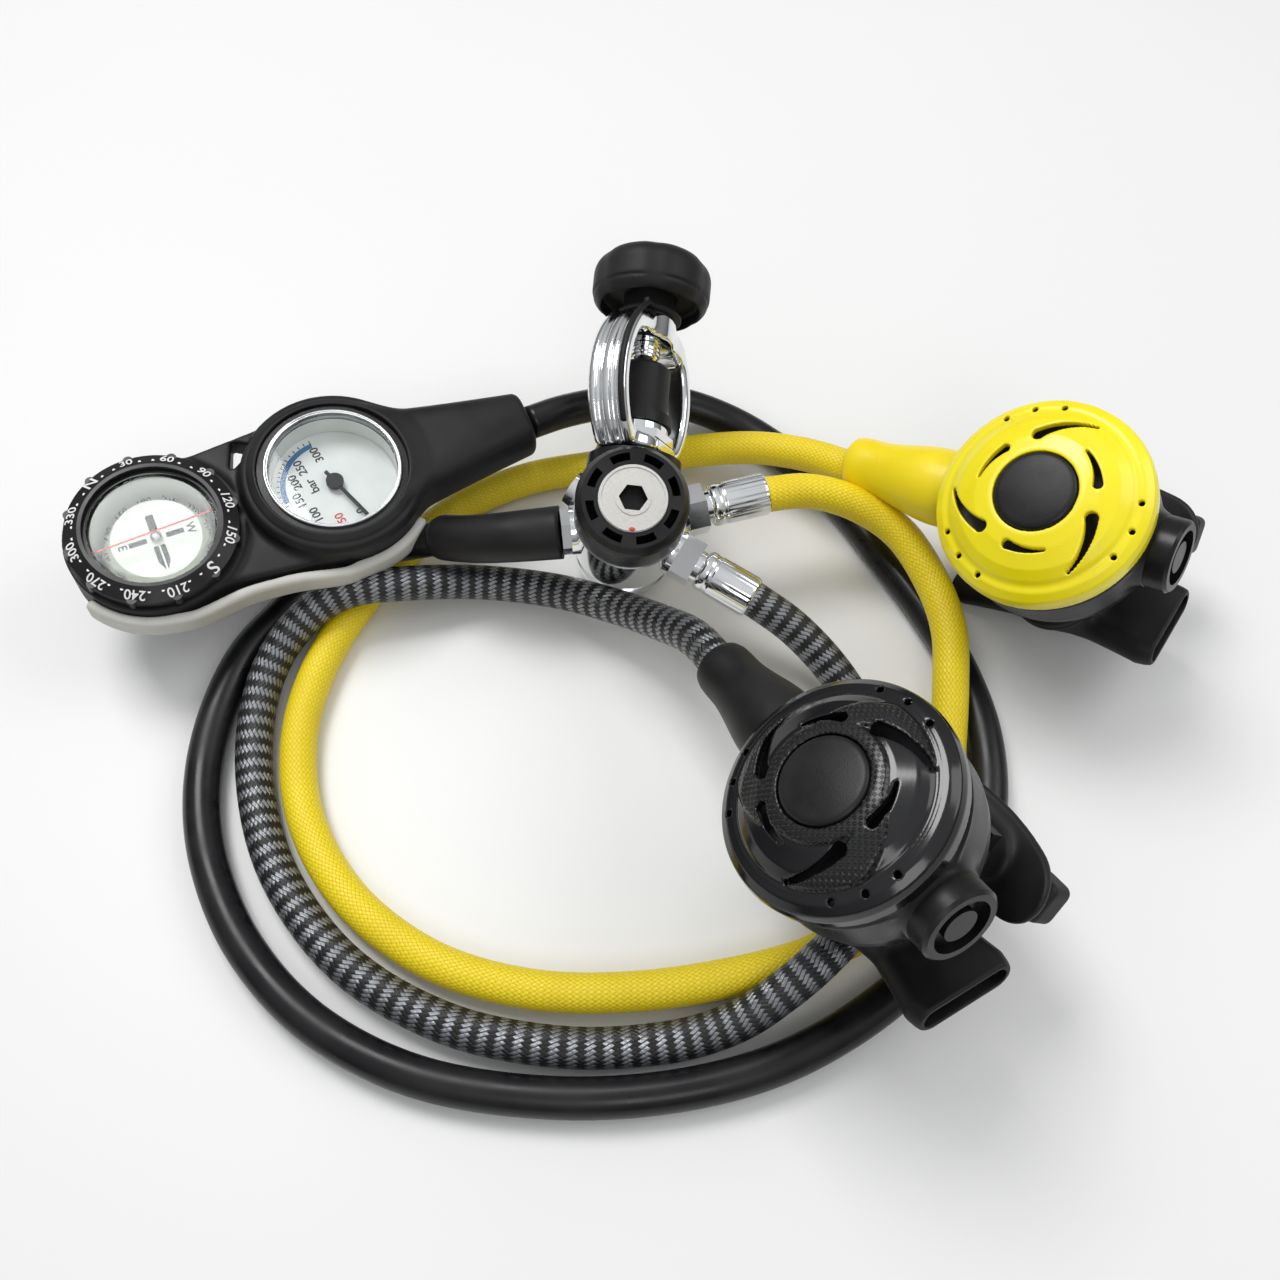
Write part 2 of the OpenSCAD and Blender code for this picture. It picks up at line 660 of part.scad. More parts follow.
module compass_housing() color(black) on_console() difference() {
    union() {
        translate([0, 0, -24.5]) cylinder(h = 17.9, r = 24.6);
        translate([0, 0, -7]) cylinder(h = 5, r = 21.3);
    }
    translate([0, 0, -21]) difference() {
        cylinder(h = 30, r = 19.6);
        translate([0, 0, -1]) cylinder(h = 10.5, r1 = 3, r2 = 0.6);
    }
    translate([0, 0, -4]) cylinder(h = 6, r = 20.4);
}

module compass_bezel() color(black) on_console() difference() {
    union() {
        translate([0, 0, -6.2]) cylinder(h = 3.6, r = bezel_r);
        translate([0, 0, -2.6]) cylinder(h = 2.6, r1 = bezel_r, r2 = 22.6);
        for (i = [0:11]) rotate([0, 0, i * 30]) translate([bezel_r - 0.9, 0, -6.2])
            cylinder(h = 4, r = 1.7);
    }
    translate([0, 0, -8]) cylinder(h = 10, r = 21.38);
}

module compass_card() color(cream) on_console() difference() {
    union() {
        translate([0, 0, -11]) cylinder(h = 1, r = 14.5);
        translate([0, 0, -16]) difference() {
            cylinder(h = 6, r1 = 17.5, r2 = 14.5);
            translate([0, 0, -1]) cylinder(h = 7.2, r1 = 16.8, r2 = 13.3);
        }
        translate([0, 0, -11.6]) cylinder(h = 3, r = 1.8);
    }
    translate([0, 0, -12]) cylinder(h = 2.2, r = 1);
}

module compass_lens() color(clear) on_console() {
    translate([0, 0, -4]) cylinder(h = 1.6, r = 20.3);
    translate([0, 0, -2.5]) cylinder(h = 1.2, r1 = 20.3, r2 = 18.5);
}

first_stage_body();
diaphragm_cap();
spring_adjuster();
main_spring();
main_diaphragm();
valve_pin();
inlet_poppet();
base_plug();
neck_ring();
yoke_retainer();
inlet_filter();
yoke();
yoke_screw();
yoke_knob();
dust_cap();
dust_cap_strap();
port_plug();
primary_hose();
octopus_hose();
gauge_hose();
primary_fitting();
primary_ferrule();
octopus_fitting();
octopus_ferrule();
gauge_fitting();
gauge_protector();
primary_sleeve();
octopus_sleeve();
primary_case();
primary_cover();
primary_purge_button();
primary_diaphragm();
primary_demand_lever();
primary_valve_barrel();
primary_poppet();
primary_side_cap();
primary_exhaust_tee();
primary_mouthpiece();
primary_mouthpiece_tie();
octopus_case();
octopus_cover();
octopus_purge_button();
octopus_diaphragm();
octopus_demand_lever();
octopus_valve_barrel();
octopus_poppet();
octopus_side_cap();
octopus_exhaust_tee();
octopus_mouthpiece();
octopus_mouthpiece_tie();
console_boot();
console_strip();
gauge_case();
gauge_dial();
gauge_needle();
gauge_lens();
compass_housing();
compass_bezel();
compass_card();
compass_lens();
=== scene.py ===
"""Looks of a scuba regulator set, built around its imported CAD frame. Lengths are in mm in each
assembly's own frame, and a matrix per assembly takes them to metres in the shared frame."""
import json
import math

import bpy
import numpy as np
import openvdb
from mathutils import Matrix, Vector


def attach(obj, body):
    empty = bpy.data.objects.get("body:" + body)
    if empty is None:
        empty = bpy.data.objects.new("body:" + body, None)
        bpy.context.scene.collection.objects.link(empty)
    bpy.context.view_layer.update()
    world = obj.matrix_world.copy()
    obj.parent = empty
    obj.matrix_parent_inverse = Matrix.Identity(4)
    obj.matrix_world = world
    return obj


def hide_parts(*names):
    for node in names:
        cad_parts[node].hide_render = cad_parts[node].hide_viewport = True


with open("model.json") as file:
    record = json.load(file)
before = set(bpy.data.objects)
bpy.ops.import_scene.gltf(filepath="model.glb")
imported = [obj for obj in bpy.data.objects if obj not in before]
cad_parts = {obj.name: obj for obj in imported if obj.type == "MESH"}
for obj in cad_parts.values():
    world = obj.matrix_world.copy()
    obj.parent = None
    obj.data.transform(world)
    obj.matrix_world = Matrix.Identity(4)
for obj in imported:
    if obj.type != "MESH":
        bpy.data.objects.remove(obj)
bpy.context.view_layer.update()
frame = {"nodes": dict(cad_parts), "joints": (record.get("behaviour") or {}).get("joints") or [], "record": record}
NODES = frame["nodes"]
JOINTS = {j["name"]: j for j in frame["joints"]}
MM = 0.001
FINE = 0.42


# ---- camera ----
ORIGIN = Vector((-1.8, 14.3, 0)) * MM
camera = bpy.data.objects.new("camera", bpy.data.cameras.new("camera"))
bpy.context.scene.collection.objects.link(camera)
camera.location = ORIGIN + Vector((0, -225.2, 390)) * MM
camera.rotation_euler = (math.radians(30), 0, 0)
camera.data.lens = 36
camera.data.sensor_width = 36
camera.data.clip_start = 0.01
bpy.context.scene.camera = camera


# ---- frames of the assemblies, from the joints ----
def matrix_of(x, z, point, local_point):
    """Matrix of a frame with axes x and z (y follows), in which point lies at local_point (mm)."""
    z = Vector(z).normalized()
    y = z.cross(Vector(x)).normalized()
    x = y.cross(z)
    turn = Matrix((x, y, z)).transposed()
    origin = Vector(point) - turn @ (Vector(local_point) * MM)
    return Matrix.Translation(origin) @ turn.to_4x4() @ Matrix.Scale(MM, 4)


def second_stage_frame(which):
    swivel = JOINTS[which + "_swivel"]
    press = JOINTS[which + "_purge_press"]
    return matrix_of(swivel["axis"], -Vector(press["axis"]), swivel["pos_m"], (-34, 0, -18))


knob_joint = JOINTS["knob_turn"]
cap_axis = -Vector(JOINTS["first_stage_valve_travel"]["axis"])
yoke_axis = Vector(knob_joint["axis"])
FIRST = matrix_of(yoke_axis.cross(cap_axis), cap_axis, knob_joint["pos_m"], (0, 76, 0))
YOKE = FIRST @ Matrix.Rotation(math.radians(60), 4, "Y")
PRIMARY = second_stage_frame("primary")
OCTOPUS = second_stage_frame("octopus")
console_joint = JOINTS["console_swivel"]
bezel_joint = JOINTS["compass_bezel_turn"]
CONSOLE = matrix_of(console_joint["axis"], bezel_joint["axis"], bezel_joint["pos_m"], (0, 0, -3))
GAUGE_X = 61
GAUGE = CONSOLE @ Matrix.Translation((GAUGE_X, 0, 0))


# ---- meshes ----
def add_mesh(name, points, faces, matrix, material, body, smooth=True, uv=None, mask=None):
    """A piece from points in mm in the frame that matrix gives. uv is one pair per face corner;
    mask is one number per point, and then the UVs are the points' own x and y in metres."""
    world = np.asarray(points, float) @ np.array(matrix.to_3x3()).T + np.array(matrix.translation)
    mesh = bpy.data.meshes.new(name)
    mesh.from_pydata(world.tolist(), [], [list(map(int, f)) for f in faces])
    mesh.validate()
    mesh.polygons.foreach_set("use_smooth", [smooth] * len(mesh.polygons))
    if uv is not None:
        layer = mesh.uv_layers.new(name="UVMap")
        layer.data.foreach_set("uv", np.asarray(uv, np.float32).ravel())
    if mask is not None:
        corner = np.empty(len(mesh.loops), np.int32)
        mesh.loops.foreach_get("vertex_index", corner)
        layer = mesh.uv_layers.new(name="UVMap")
        layer.data.foreach_set("uv", (np.asarray(points)[corner, :2] * MM).astype(np.float32).ravel())
        value = mesh.attributes.new("panel", "FLOAT", "POINT")
        value.data.foreach_set("value", np.asarray(mask, np.float32))
    mesh.materials.append(material)
    mesh.update()
    piece = bpy.data.objects.new(name, mesh)
    bpy.context.scene.collection.objects.link(piece)
    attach(piece, body)
    return piece


def auto_smooth(piece, angle=35):
    """Shades edges sharper than angle as edges."""
    mesh = piece.data
    limit = math.cos(math.radians(angle))
    normals = [p.normal.copy() for p in mesh.polygons]
    sides = {}
    for p in mesh.polygons:
        for k in p.edge_keys:
            sides.setdefault(k, []).append(p.index)
    for e in mesh.edges:
        f = sides.get(e.key, [])
        e.use_edge_sharp = len(f) == 2 and normals[f[0]].dot(normals[f[1]]) < limit


def lathe(profile, sides=96, wave=None, axis="z", cap=True):
    """Points and faces of profile, a list of (radius, height), turned about an axis.
    wave(angle, height) is added to the radius."""
    angles = np.linspace(0, 2 * math.pi, sides, endpoint=False)
    rows = []
    for r, h in profile:
        radius = r + (wave(angles, h) if wave and r > 0.01 else 0 * angles)
        rows.append(np.stack([radius * np.cos(angles), radius * np.sin(angles), h + 0 * angles], 1))
    points = np.concatenate(rows)
    faces = []
    for i in range(len(profile) - 1):
        for k in range(sides):
            a, b = i * sides + k, i * sides + (k + 1) % sides
            faces.append((a, b, b + sides, a + sides))
    if cap:
        last = (len(profile) - 1) * sides
        faces.append(list(range(sides))[::-1])
        faces.append(list(range(last, last + sides)))
    if axis == "x":
        points = points[:, [2, 0, 1]]
    if axis == "y":
        points = points[:, [1, 2, 0]]
    return points, faces


def arc_profile(profile, rounding=1.0, steps=4):
    """The profile with its inner corners rounded."""
    out = [profile[0]]
    for a, b, c in zip(profile, profile[1:], profile[2:]):
        a, b, c = Vector(a), Vector(b), Vector(c)
        r = min(rounding, (a - b).length * 0.45, (c - b).length * 0.45)
        p, q = b + (a - b).normalized() * r, b + (c - b).normalized() * r
        for i in range(steps + 1):
            t = i / steps
            out.append(tuple(p * (1 - t) ** 2 + b * 2 * t * (1 - t) + q * t * t))
    out.append(profile[-1])
    return [tuple(p) for p in out]


# ---- distance fields ----
class Field:
    """A box of space cut into cells, in mm, in which shapes are given as distances."""

    def __init__(self, low, high, step=FINE):
        self.low, self.step = np.array(low, float), step
        axes = [np.arange(a, b + step, step, dtype=np.float32) for a, b in zip(low, high)]
        self.x, self.y, self.z = np.meshgrid(*axes, indexing="ij", sparse=True)

    def mesh(self, distance):
        grid = openvdb.FloatGrid()
        whole = np.broadcast_to(distance, np.broadcast_shapes(self.x.shape, self.y.shape, self.z.shape))
        grid.copyFromArray(np.clip(whole, -3, 3).astype(np.float32))
        points, quads = grid.convertToQuads()
        return points * self.step + self.low, quads


def smooth_min(a, b, k):
    """The union of two distances, with a fillet about k wide."""
    h = np.clip(0.5 + 0.5 * (b - a) / k, 0, 1)
    return b + (a - b) * h - k * h * (1 - h)


def smooth_max(a, b, k):
    return -smooth_min(-a, -b, k)


def both(*shapes):
    """What lies inside every one of the shapes."""
    out = shapes[0]
    for s in shapes[1:]:
        out = np.maximum(out, s)
    return out


def bar(radial, along, low, high, rounding=0.0):
    """A solid whose radial distance is given, from low to high along an axis, with rounded rims."""
    a = radial + rounding
    b = np.abs(along - (low + high) / 2) - (high - low) / 2 + rounding
    return np.minimum(np.maximum(a, b), 0) + np.hypot(np.maximum(a, 0), np.maximum(b, 0)) - rounding


def polygon(u, v, points):
    """Signed distance to a polygon in the plane of u and v."""
    best, sign = None, 1.0
    n = len(points)
    for i in range(n):
        (ax, ay), (bx, by) = points[i], points[i - 1]
        ex, ey = bx - ax, by - ay
        wx, wy = u - ax, v - ay
        t = np.clip((wx * ex + wy * ey) / (ex * ex + ey * ey), 0, 1)
        d = (wx - ex * t) ** 2 + (wy - ey * t) ** 2
        best = d if best is None else np.minimum(best, d)
        c1, c2, c3 = v >= ay, v < by, ex * wy > ey * wx
        flip = (c1 & c2 & c3) | (~c1 & ~c2 & ~c3)
        sign = sign * np.where(flip, -1.0, 1.0)
    return sign * np.sqrt(best)


def oval(u, v, r, half):
    """Distance to a slot of radius r, stretched by half to each side along u."""
    return np.hypot(np.maximum(np.abs(u) - half, 0), v) - r


def add_field(name, f, distance, matrix, material, body):
    """A piece from the surface where distance, given over the field f, is 0."""
    points, quads = f.mesh(distance)
    return add_mesh(name, points, quads, matrix, material, body)


# ---- materials ----
def new_material(name):
    m = bpy.data.materials.new(name)
    m.use_nodes = True
    tree = m.node_tree
    return m, tree, tree.nodes["Principled BSDF"]


def noise(tree, scale, detail):
    place = tree.nodes.new("ShaderNodeTexCoord")
    n = tree.nodes.new("ShaderNodeTexNoise")
    n.inputs["Scale"].default_value = scale
    n.inputs["Detail"].default_value = detail
    tree.links.new(place.outputs["Object"], n.inputs["Vector"])
    return n


def ramp(tree, source, low, high, a, b):
    """source between low and high, mapped to a..b."""
    r = tree.nodes.new("ShaderNodeMapRange")
    for key, value in zip(("From Min", "From Max", "To Min", "To Max"), (low, high, a, b)):
        r.inputs[key].default_value = value
    tree.links.new(source, r.inputs["Value"])
    return r.outputs["Result"]


def mix_colour(tree, factor, a, b):
    m = tree.nodes.new("ShaderNodeMix")
    m.data_type = "RGBA"
    for socket, c in ((m.inputs[6], a), (m.inputs[7], b)):
        if isinstance(c, (tuple, list)):
            socket.default_value = (*c, 1)
        else:
            tree.links.new(c, socket)
    tree.links.new(factor, m.inputs[0])
    return m.outputs[2]


def mix_value(tree, factor, a, b):
    m = tree.nodes.new("ShaderNodeMix")
    m.data_type = "FLOAT"
    tree.links.new(factor, m.inputs[0])
    tree.links.new(a, m.inputs[2])
    tree.links.new(b, m.inputs[3])
    return m.outputs[0]


def bump(tree, shader, height, strength, distance):
    b = tree.nodes.new("ShaderNodeBump")
    b.inputs["Strength"].default_value = strength
    b.inputs["Distance"].default_value = distance
    tree.links.new(height, b.inputs["Height"])
    tree.links.new(b.outputs["Normal"], shader.inputs["Normal"])


def surface(name, dark, light, rough, grain=900, grain_depth=0.00004, metallic=0.0, coat=0.0,
            patch=60, specular=0.5, rough_spread=0.08):
    """A moulded, cast or plated surface: slow colour variation, a fine grain and uneven gloss."""
    m, tree, shader = new_material(name)
    slow = noise(tree, patch, 3).outputs["Fac"]
    fine = noise(tree, grain, 5).outputs["Fac"]
    tree.links.new(mix_colour(tree, ramp(tree, slow, 0.35, 0.65, 0, 1), dark, light),
                   shader.inputs["Base Color"])
    tree.links.new(ramp(tree, slow, 0.3, 0.7, rough - rough_spread, rough + rough_spread),
                   shader.inputs["Roughness"])
    shader.inputs["Metallic"].default_value = metallic
    shader.inputs["Coat Weight"].default_value = coat
    shader.inputs["Coat Roughness"].default_value = 0.12
    shader.inputs["Specular IOR Level"].default_value = specular
    bump(tree, shader, fine, 0.6, grain_depth)
    return m


def math_node(tree, operation, a, b=None):
    n = tree.nodes.new("ShaderNodeMath")
    n.operation = operation
    for socket, value in zip(n.inputs, (a, b)):
        if value is None:
            continue
        if isinstance(value, (int, float)):
            socket.default_value = value
        else:
            tree.links.new(value, socket)
    return n.outputs[0]


def braid(name, over, under, groove, turns, pitch, twill, rough, metallic_over=0.0, fibres=7):
    """A woven hose cover. UV x goes once round, UV y is metres along; strands run both ways."""
    m, tree, shader = new_material(name)
    place = tree.nodes.new("ShaderNodeTexCoord")
    split = tree.nodes.new("ShaderNodeSeparateXYZ")
    tree.links.new(place.outputs["UV"], split.inputs[0])
    u = math_node(tree, "MULTIPLY", split.outputs[0], turns)
    v = math_node(tree, "MULTIPLY", split.outputs[1], 1 / pitch)
    p, q = math_node(tree, "ADD", u, v), math_node(tree, "SUBTRACT", u, v)
    i, j = math_node(tree, "FLOOR", p), math_node(tree, "FLOOR", q)
    fp, fq = math_node(tree, "FRACT", p), math_node(tree, "FRACT", q)
    step = math_node(tree, "FLOORED_MODULO", math_node(tree, "SUBTRACT", i, j), twill)
    top = math_node(tree, "LESS_THAN", step, twill / 2)
    across = mix_value(tree, top, fq, fp)
    along = mix_value(tree, top, fp, fq)
    hump = math_node(tree, "SINE", math_node(tree, "MULTIPLY", across, math.pi))
    fibre = math_node(tree, "SINE", math_node(tree, "MULTIPLY", across, 2 * math.pi * fibres))
    dip = math_node(tree, "SINE", math_node(tree, "MULTIPLY", along, math.pi))
    height = math_node(tree, "ADD", math_node(tree, "POWER", hump, 0.6),
                       math_node(tree, "MULTIPLY", fibre, 0.10))
    height = math_node(tree, "ADD", height, math_node(tree, "MULTIPLY", dip, 0.35))
    wear = noise(tree, 45, 4).outputs["Fac"]
    speck = noise(tree, 700, 2).outputs["Fac"]
    strand = mix_colour(tree, top, under, over)
    worn = mix_colour(tree, ramp(tree, wear, 0.45, 0.75, 0, 0.35), strand, groove)
    worn = mix_colour(tree, ramp(tree, speck, 0.62, 0.75, 0, 0.5), worn, under)
    # Painted shade: by strand height, the strand edges and the grooves between strands are darkened toward the
    # groove colour. The wear mix above uses the same colour for random wear.
    shade = ramp(tree, hump, 0.05, 0.55, 1, 0)
    tree.links.new(mix_colour(tree, shade, worn, groove), shader.inputs["Base Color"])
    tree.links.new(ramp(tree, wear, 0.3, 0.7, rough - 0.08, rough + 0.08), shader.inputs["Roughness"])
    if metallic_over:
        tree.links.new(math_node(tree, "MULTIPLY", top, metallic_over), shader.inputs["Metallic"])
    bump(tree, shader, height, 0.8, 0.00016)
    return m


def clear_plastic(name):
    """A clear lens: mostly see-through, with a weak reflection that grows toward its edge."""
    m, tree, shader = new_material(name)
    tree.nodes.remove(shader)
    through = tree.nodes.new("ShaderNodeBsdfTransparent")
    through.inputs["Color"].default_value = (0.96, 0.975, 0.98, 1)
    shine = tree.nodes.new("ShaderNodeBsdfGlossy")
    scratch = noise(tree, 300, 3).outputs["Fac"]
    tree.links.new(ramp(tree, scratch, 0.3, 0.8, 0.01, 0.06), shine.inputs["Roughness"])
    fresnel = tree.nodes.new("ShaderNodeFresnel")
    fresnel.inputs["IOR"].default_value = 1.33
    mix = tree.nodes.new("ShaderNodeMixShader")
    tree.links.new(math_node(tree, "MULTIPLY", fresnel.outputs[0], 0.8), mix.inputs[0])
    tree.links.new(through.outputs[0], mix.inputs[1])
    tree.links.new(shine.outputs[0], mix.inputs[2])
    tree.links.new(mix.outputs[0], tree.nodes["Material Output"].inputs["Surface"])
    return m


DIMPLE = 0.0021


def dimpled(m):
    """Adds a lattice of small dimples to a material, where the mesh's panel mask is 1."""
    tree = m.node_tree
    shader = tree.nodes["Principled BSDF"]
    place = tree.nodes.new("ShaderNodeTexCoord")
    split = tree.nodes.new("ShaderNodeSeparateXYZ")
    tree.links.new(place.outputs["UV"], split.inputs[0])
    wave = []
    for k in (0, 1):
        phase = math_node(tree, "MULTIPLY", split.outputs[k], 2 * math.pi / DIMPLE)
        wave.append(math_node(tree, "SINE", phase))
    pit = math_node(tree, "MAXIMUM", math_node(tree, "MULTIPLY", wave[0], wave[1]), 0.0)
    panel = tree.nodes.new("ShaderNodeAttribute")
    panel.attribute_name = "panel"
    bump(tree, shader, math_node(tree, "MULTIPLY", pit, panel.outputs["Fac"]), 1.0, 0.0005)
    tree.links.new(ramp(tree, panel.outputs["Fac"], 0, 1, 0.13, 0.30), shader.inputs["Roughness"])
    return m


LOOKS = {
    "chrome": surface("chrome_plate", (0.80, 0.81, 0.82), (0.90, 0.91, 0.92), 0.09, grain=300,
                      grain_depth=0.000006, metallic=1.0, rough_spread=0.04),
    "cap_black": surface("cap_plastic", (0.006, 0.006, 0.007), (0.011, 0.011, 0.012), 0.34, specular=0.3),
    "adjuster": surface("blasted_steel", (0.56, 0.55, 0.52), (0.64, 0.63, 0.60), 0.42, grain=3800,
                        grain_depth=0.00007, metallic=1.0, patch=2500),
    "spring_steel": surface("spring_wire", (0.50, 0.51, 0.53), (0.66, 0.67, 0.69), 0.3, metallic=1.0),
    "brass": surface("machined_brass", (0.62, 0.44, 0.18), (0.78, 0.60, 0.30), 0.25, metallic=1.0),
    "rubber_black": surface("black_rubber", (0.007, 0.007, 0.008), (0.014, 0.014, 0.015), 0.50, grain=1500,
                            grain_depth=0.00006, specular=0.28, rough_spread=0.10),
    "rubber_yellow": surface("yellow_rubber", (0.88, 0.68, 0.005), (0.94, 0.75, 0.01), 0.34),
    "case_black": surface("case_plastic", (0.006, 0.006, 0.007), (0.011, 0.011, 0.012), 0.32, specular=0.3),
    "cover_black": dimpled(surface("cover_plastic_black", (0.004, 0.004, 0.005), (0.007, 0.007, 0.008),
                                   0.16, grain_depth=0.00001, coat=0.25, specular=0.4)),
    "cover_yellow": surface("cover_plastic_yellow", (0.94, 0.78, 0.004), (0.98, 0.84, 0.008), 0.30,
                            grain_depth=0.00001, coat=0.15, rough_spread=0.05),
    "button_black": surface("button_plastic", (0.008, 0.008, 0.009), (0.015, 0.015, 0.016), 0.38, grain=2200,
                            grain_depth=0.00005, specular=0.3),
    "silicone": surface("silicone_sheet", (0.05, 0.05, 0.055), (0.09, 0.09, 0.10), 0.45),
    "steel": surface("stamped_steel", (0.50, 0.51, 0.52), (0.64, 0.65, 0.66), 0.28, metallic=1.0),
    "strip_grey": surface("grey_rubber", (0.50, 0.49, 0.45), (0.62, 0.61, 0.57), 0.5, patch=35),
    "dial_white": surface("dial_face", (0.80, 0.80, 0.76), (0.86, 0.86, 0.83), 0.4, patch=120),
    "card_cream": surface("card_face", (0.72, 0.75, 0.64), (0.80, 0.82, 0.72), 0.4, patch=150),
    "clear": clear_plastic("clear_lens"),
}
CARBON_BRAID = {"turns": 24, "pitch": 0.0026, "twill": 4}
YELLOW_BRAID = {"turns": 26, "pitch": 0.0021, "twill": 2}
# Each braid's third colour is its groove colour: the painted shade between strands, and the random wear.
CARBON = braid("carbon_braid", (0.30, 0.31, 0.33), (0.007, 0.007, 0.008), (0.004, 0.004, 0.005),
               **CARBON_BRAID, rough=0.30, metallic_over=0.7)
YELLOW_WEAVE = braid("yellow_weave", (0.94, 0.76, 0.008), (0.90, 0.69, 0.006), (0.66, 0.44, 0.01),
                     **YELLOW_BRAID, rough=0.45, fibres=3)
HOSE_BLACK = surface("hose_rubber", (0.005, 0.005, 0.006), (0.010, 0.010, 0.011), 0.32, grain=500,
                     grain_depth=0.00003, specular=0.35, rough_spread=0.10)
WHITE_PRINT = surface("white_print", (0.75, 0.75, 0.74), (0.85, 0.85, 0.84), 0.5)
BLACK_PRINT = surface("black_print", (0.010, 0.010, 0.010), (0.020, 0.020, 0.020), 0.5)
BLUE_PRINT = surface("blue_print", (0.04, 0.16, 0.36), (0.06, 0.22, 0.44), 0.5)
RED_PRINT = surface("red_print", (0.62, 0.04, 0.03), (0.72, 0.07, 0.05), 0.5)

for part in frame["record"]["subparts"]:
    cad = NODES[part["node"]]
    cad.data.materials.clear()
    cad.data.materials.append(LOOKS.get(part["material_slot"], HOSE_BLACK))
    edge = cad.modifiers.new("edges", "BEVEL")
    edge.width = 0.0004
    edge.segments = 2
    edge.limit_method = "ANGLE"
    edge.angle_limit = math.radians(40)
    edge.harden_normals = True


def paint_inside(node, matrix, radius, low, high, material):
    """Gives a node's faces within radius and between two heights another material. No point moves."""
    cad = NODES[node]
    cad.data.materials.append(material)
    to_local = matrix.inverted() @ cad.matrix_world
    for face in cad.data.polygons:
        centre = to_local @ face.center
        if math.hypot(centre.x, centre.y) < radius and low < centre.z < high:
            face.material_index = 1


# Painted shade: the faces inside the adjuster's hex recess get the black cap plastic, a dark patch where only
# shade falls. The two dial faces below are their real white.
paint_inside("spring_adjuster", FIRST, 4.65, 26.5, 31.5, LOOKS["cap_black"])
paint_inside("compass_housing", CONSOLE, 19.7, -21.5, -4.5, LOOKS["dial_white"])
paint_inside("gauge_case", GAUGE, 21.5, -12.5, -3.5, LOOKS["dial_white"])


# ---- hoses ----
HOSE_R = 6.0
OCTOPUS_ROUTE = [
    (42, 35, 38), (58, 38, 36), (75, 36, 31), (90, 27, 26), (100, 10, 21), (104, -7, 18.5),
    (103, -25, 15.5), (101, -44, 10), (98, -62, 6), (89, -84, 6), (74, -102, 6), (52, -114, 6),
    (26, -121, 6), (-4, -125, 6), (-34, -124, 6), (-64, -115, 6), (-90, -96, 6), (-107, -70, 6),
    (-113, -42, 6), (-110, -16, 6), (-100, 9, 6), (-84, 34, 6), (-66, 53, 6), (-42, 66, 6),
    (-15, 72, 6), (14, 75, 10), (40, 72, 17), (60, 64, 23), (76, 52, 29.5)]
PRIMARY_ROUTE = [
    (37, 1, 27), (52, -8, 21), (66, -22, 14), (76, -40, 8), (80, -58, 6), (77, -75, 9),
    (72, -91, 15), (66, -105, 18), (55, -117, 18.4), (42, -127, 14.5), (27, -135, 8.5),
    (6, -140, 6), (-24, -141, 6), (-58, -134, 6), (-90, -116, 6), (-114, -87, 6), (-126, -54, 6),
    (-127, -24, 8.5), (-118, -4, 14), (-102, 8, 18.6), (-81, 13, 16.5), (-56, 17, 11),
    (-30, 13, 12), (-8, 1.5, 20), (7, -12, 32), (17, -24, 43), (25.5, -38.5, 49)]
PROTECTOR_ROUTE = [(-26.5, 20, 37.3), (-42, 19.5, 35.5), (-56, 22, 30.5), (-70, 27, 24.3)]
GAUGE_ROUTE = [
    (-68, 26.3, 25.2), (-83, 28, 18.7), (-97, 27, 16.6), (-111, 20, 11), (-124, 8, 6.5),
    (-136, -10, 6), (-142, -34, 6), (-142, -60, 6), (-135, -86, 6), (-120, -112, 6),
    (-97, -134, 6), (-66, -149, 6), (-30, -155, 6), (6, -154, 6), (40, -146, 6), (70, -130, 6),
    (92, -110, 6), (106, -86, 6), (113, -62, 6), (114, -38, 6), (109, -14, 6), (100, 8, 6),
    (88, 30, 6), (74, 54, 6), (56, 76, 6), (36, 91, 8), (14, 97, 13), (-6, 91, 21),
    (-26, 80.5, 28), (-40, 73.2, 29.6)]
TABLE = Matrix.Translation(ORIGIN) @ Matrix.Scale(MM, 4)


def smooth_route(route, spacing):
    """Points every spacing mm along a Catmull-Rom curve through route."""
    p = np.array([route[0], *route, route[-1]], float)
    p[0] = 2 * p[1] - p[2]
    p[-1] = 2 * p[-2] - p[-3]
    dense = []
    for a, b, c, d in zip(p, p[1:], p[2:], p[3:]):
        for t in np.linspace(0, 1, 40, endpoint=False):
            dense.append(0.5 * (2 * b + (c - a) * t + (2 * a - 5 * b + 4 * c - d) * t * t
                                + (3 * b - a - 3 * c + d) * t ** 3))
    dense = np.array(dense + [p[-2]])
    for _ in range(30):
        dense[1:-1] = 0.25 * dense[:-2] + 0.5 * dense[1:-1] + 0.25 * dense[2:]
    s = np.concatenate([[0], np.cumsum(np.linalg.norm(np.diff(dense, axis=0), axis=1))])
    at = np.linspace(0, s[-1], max(4, int(s[-1] / spacing)))
    return np.stack([np.interp(at, s, dense[:, k]) for k in range(3)], 1), at


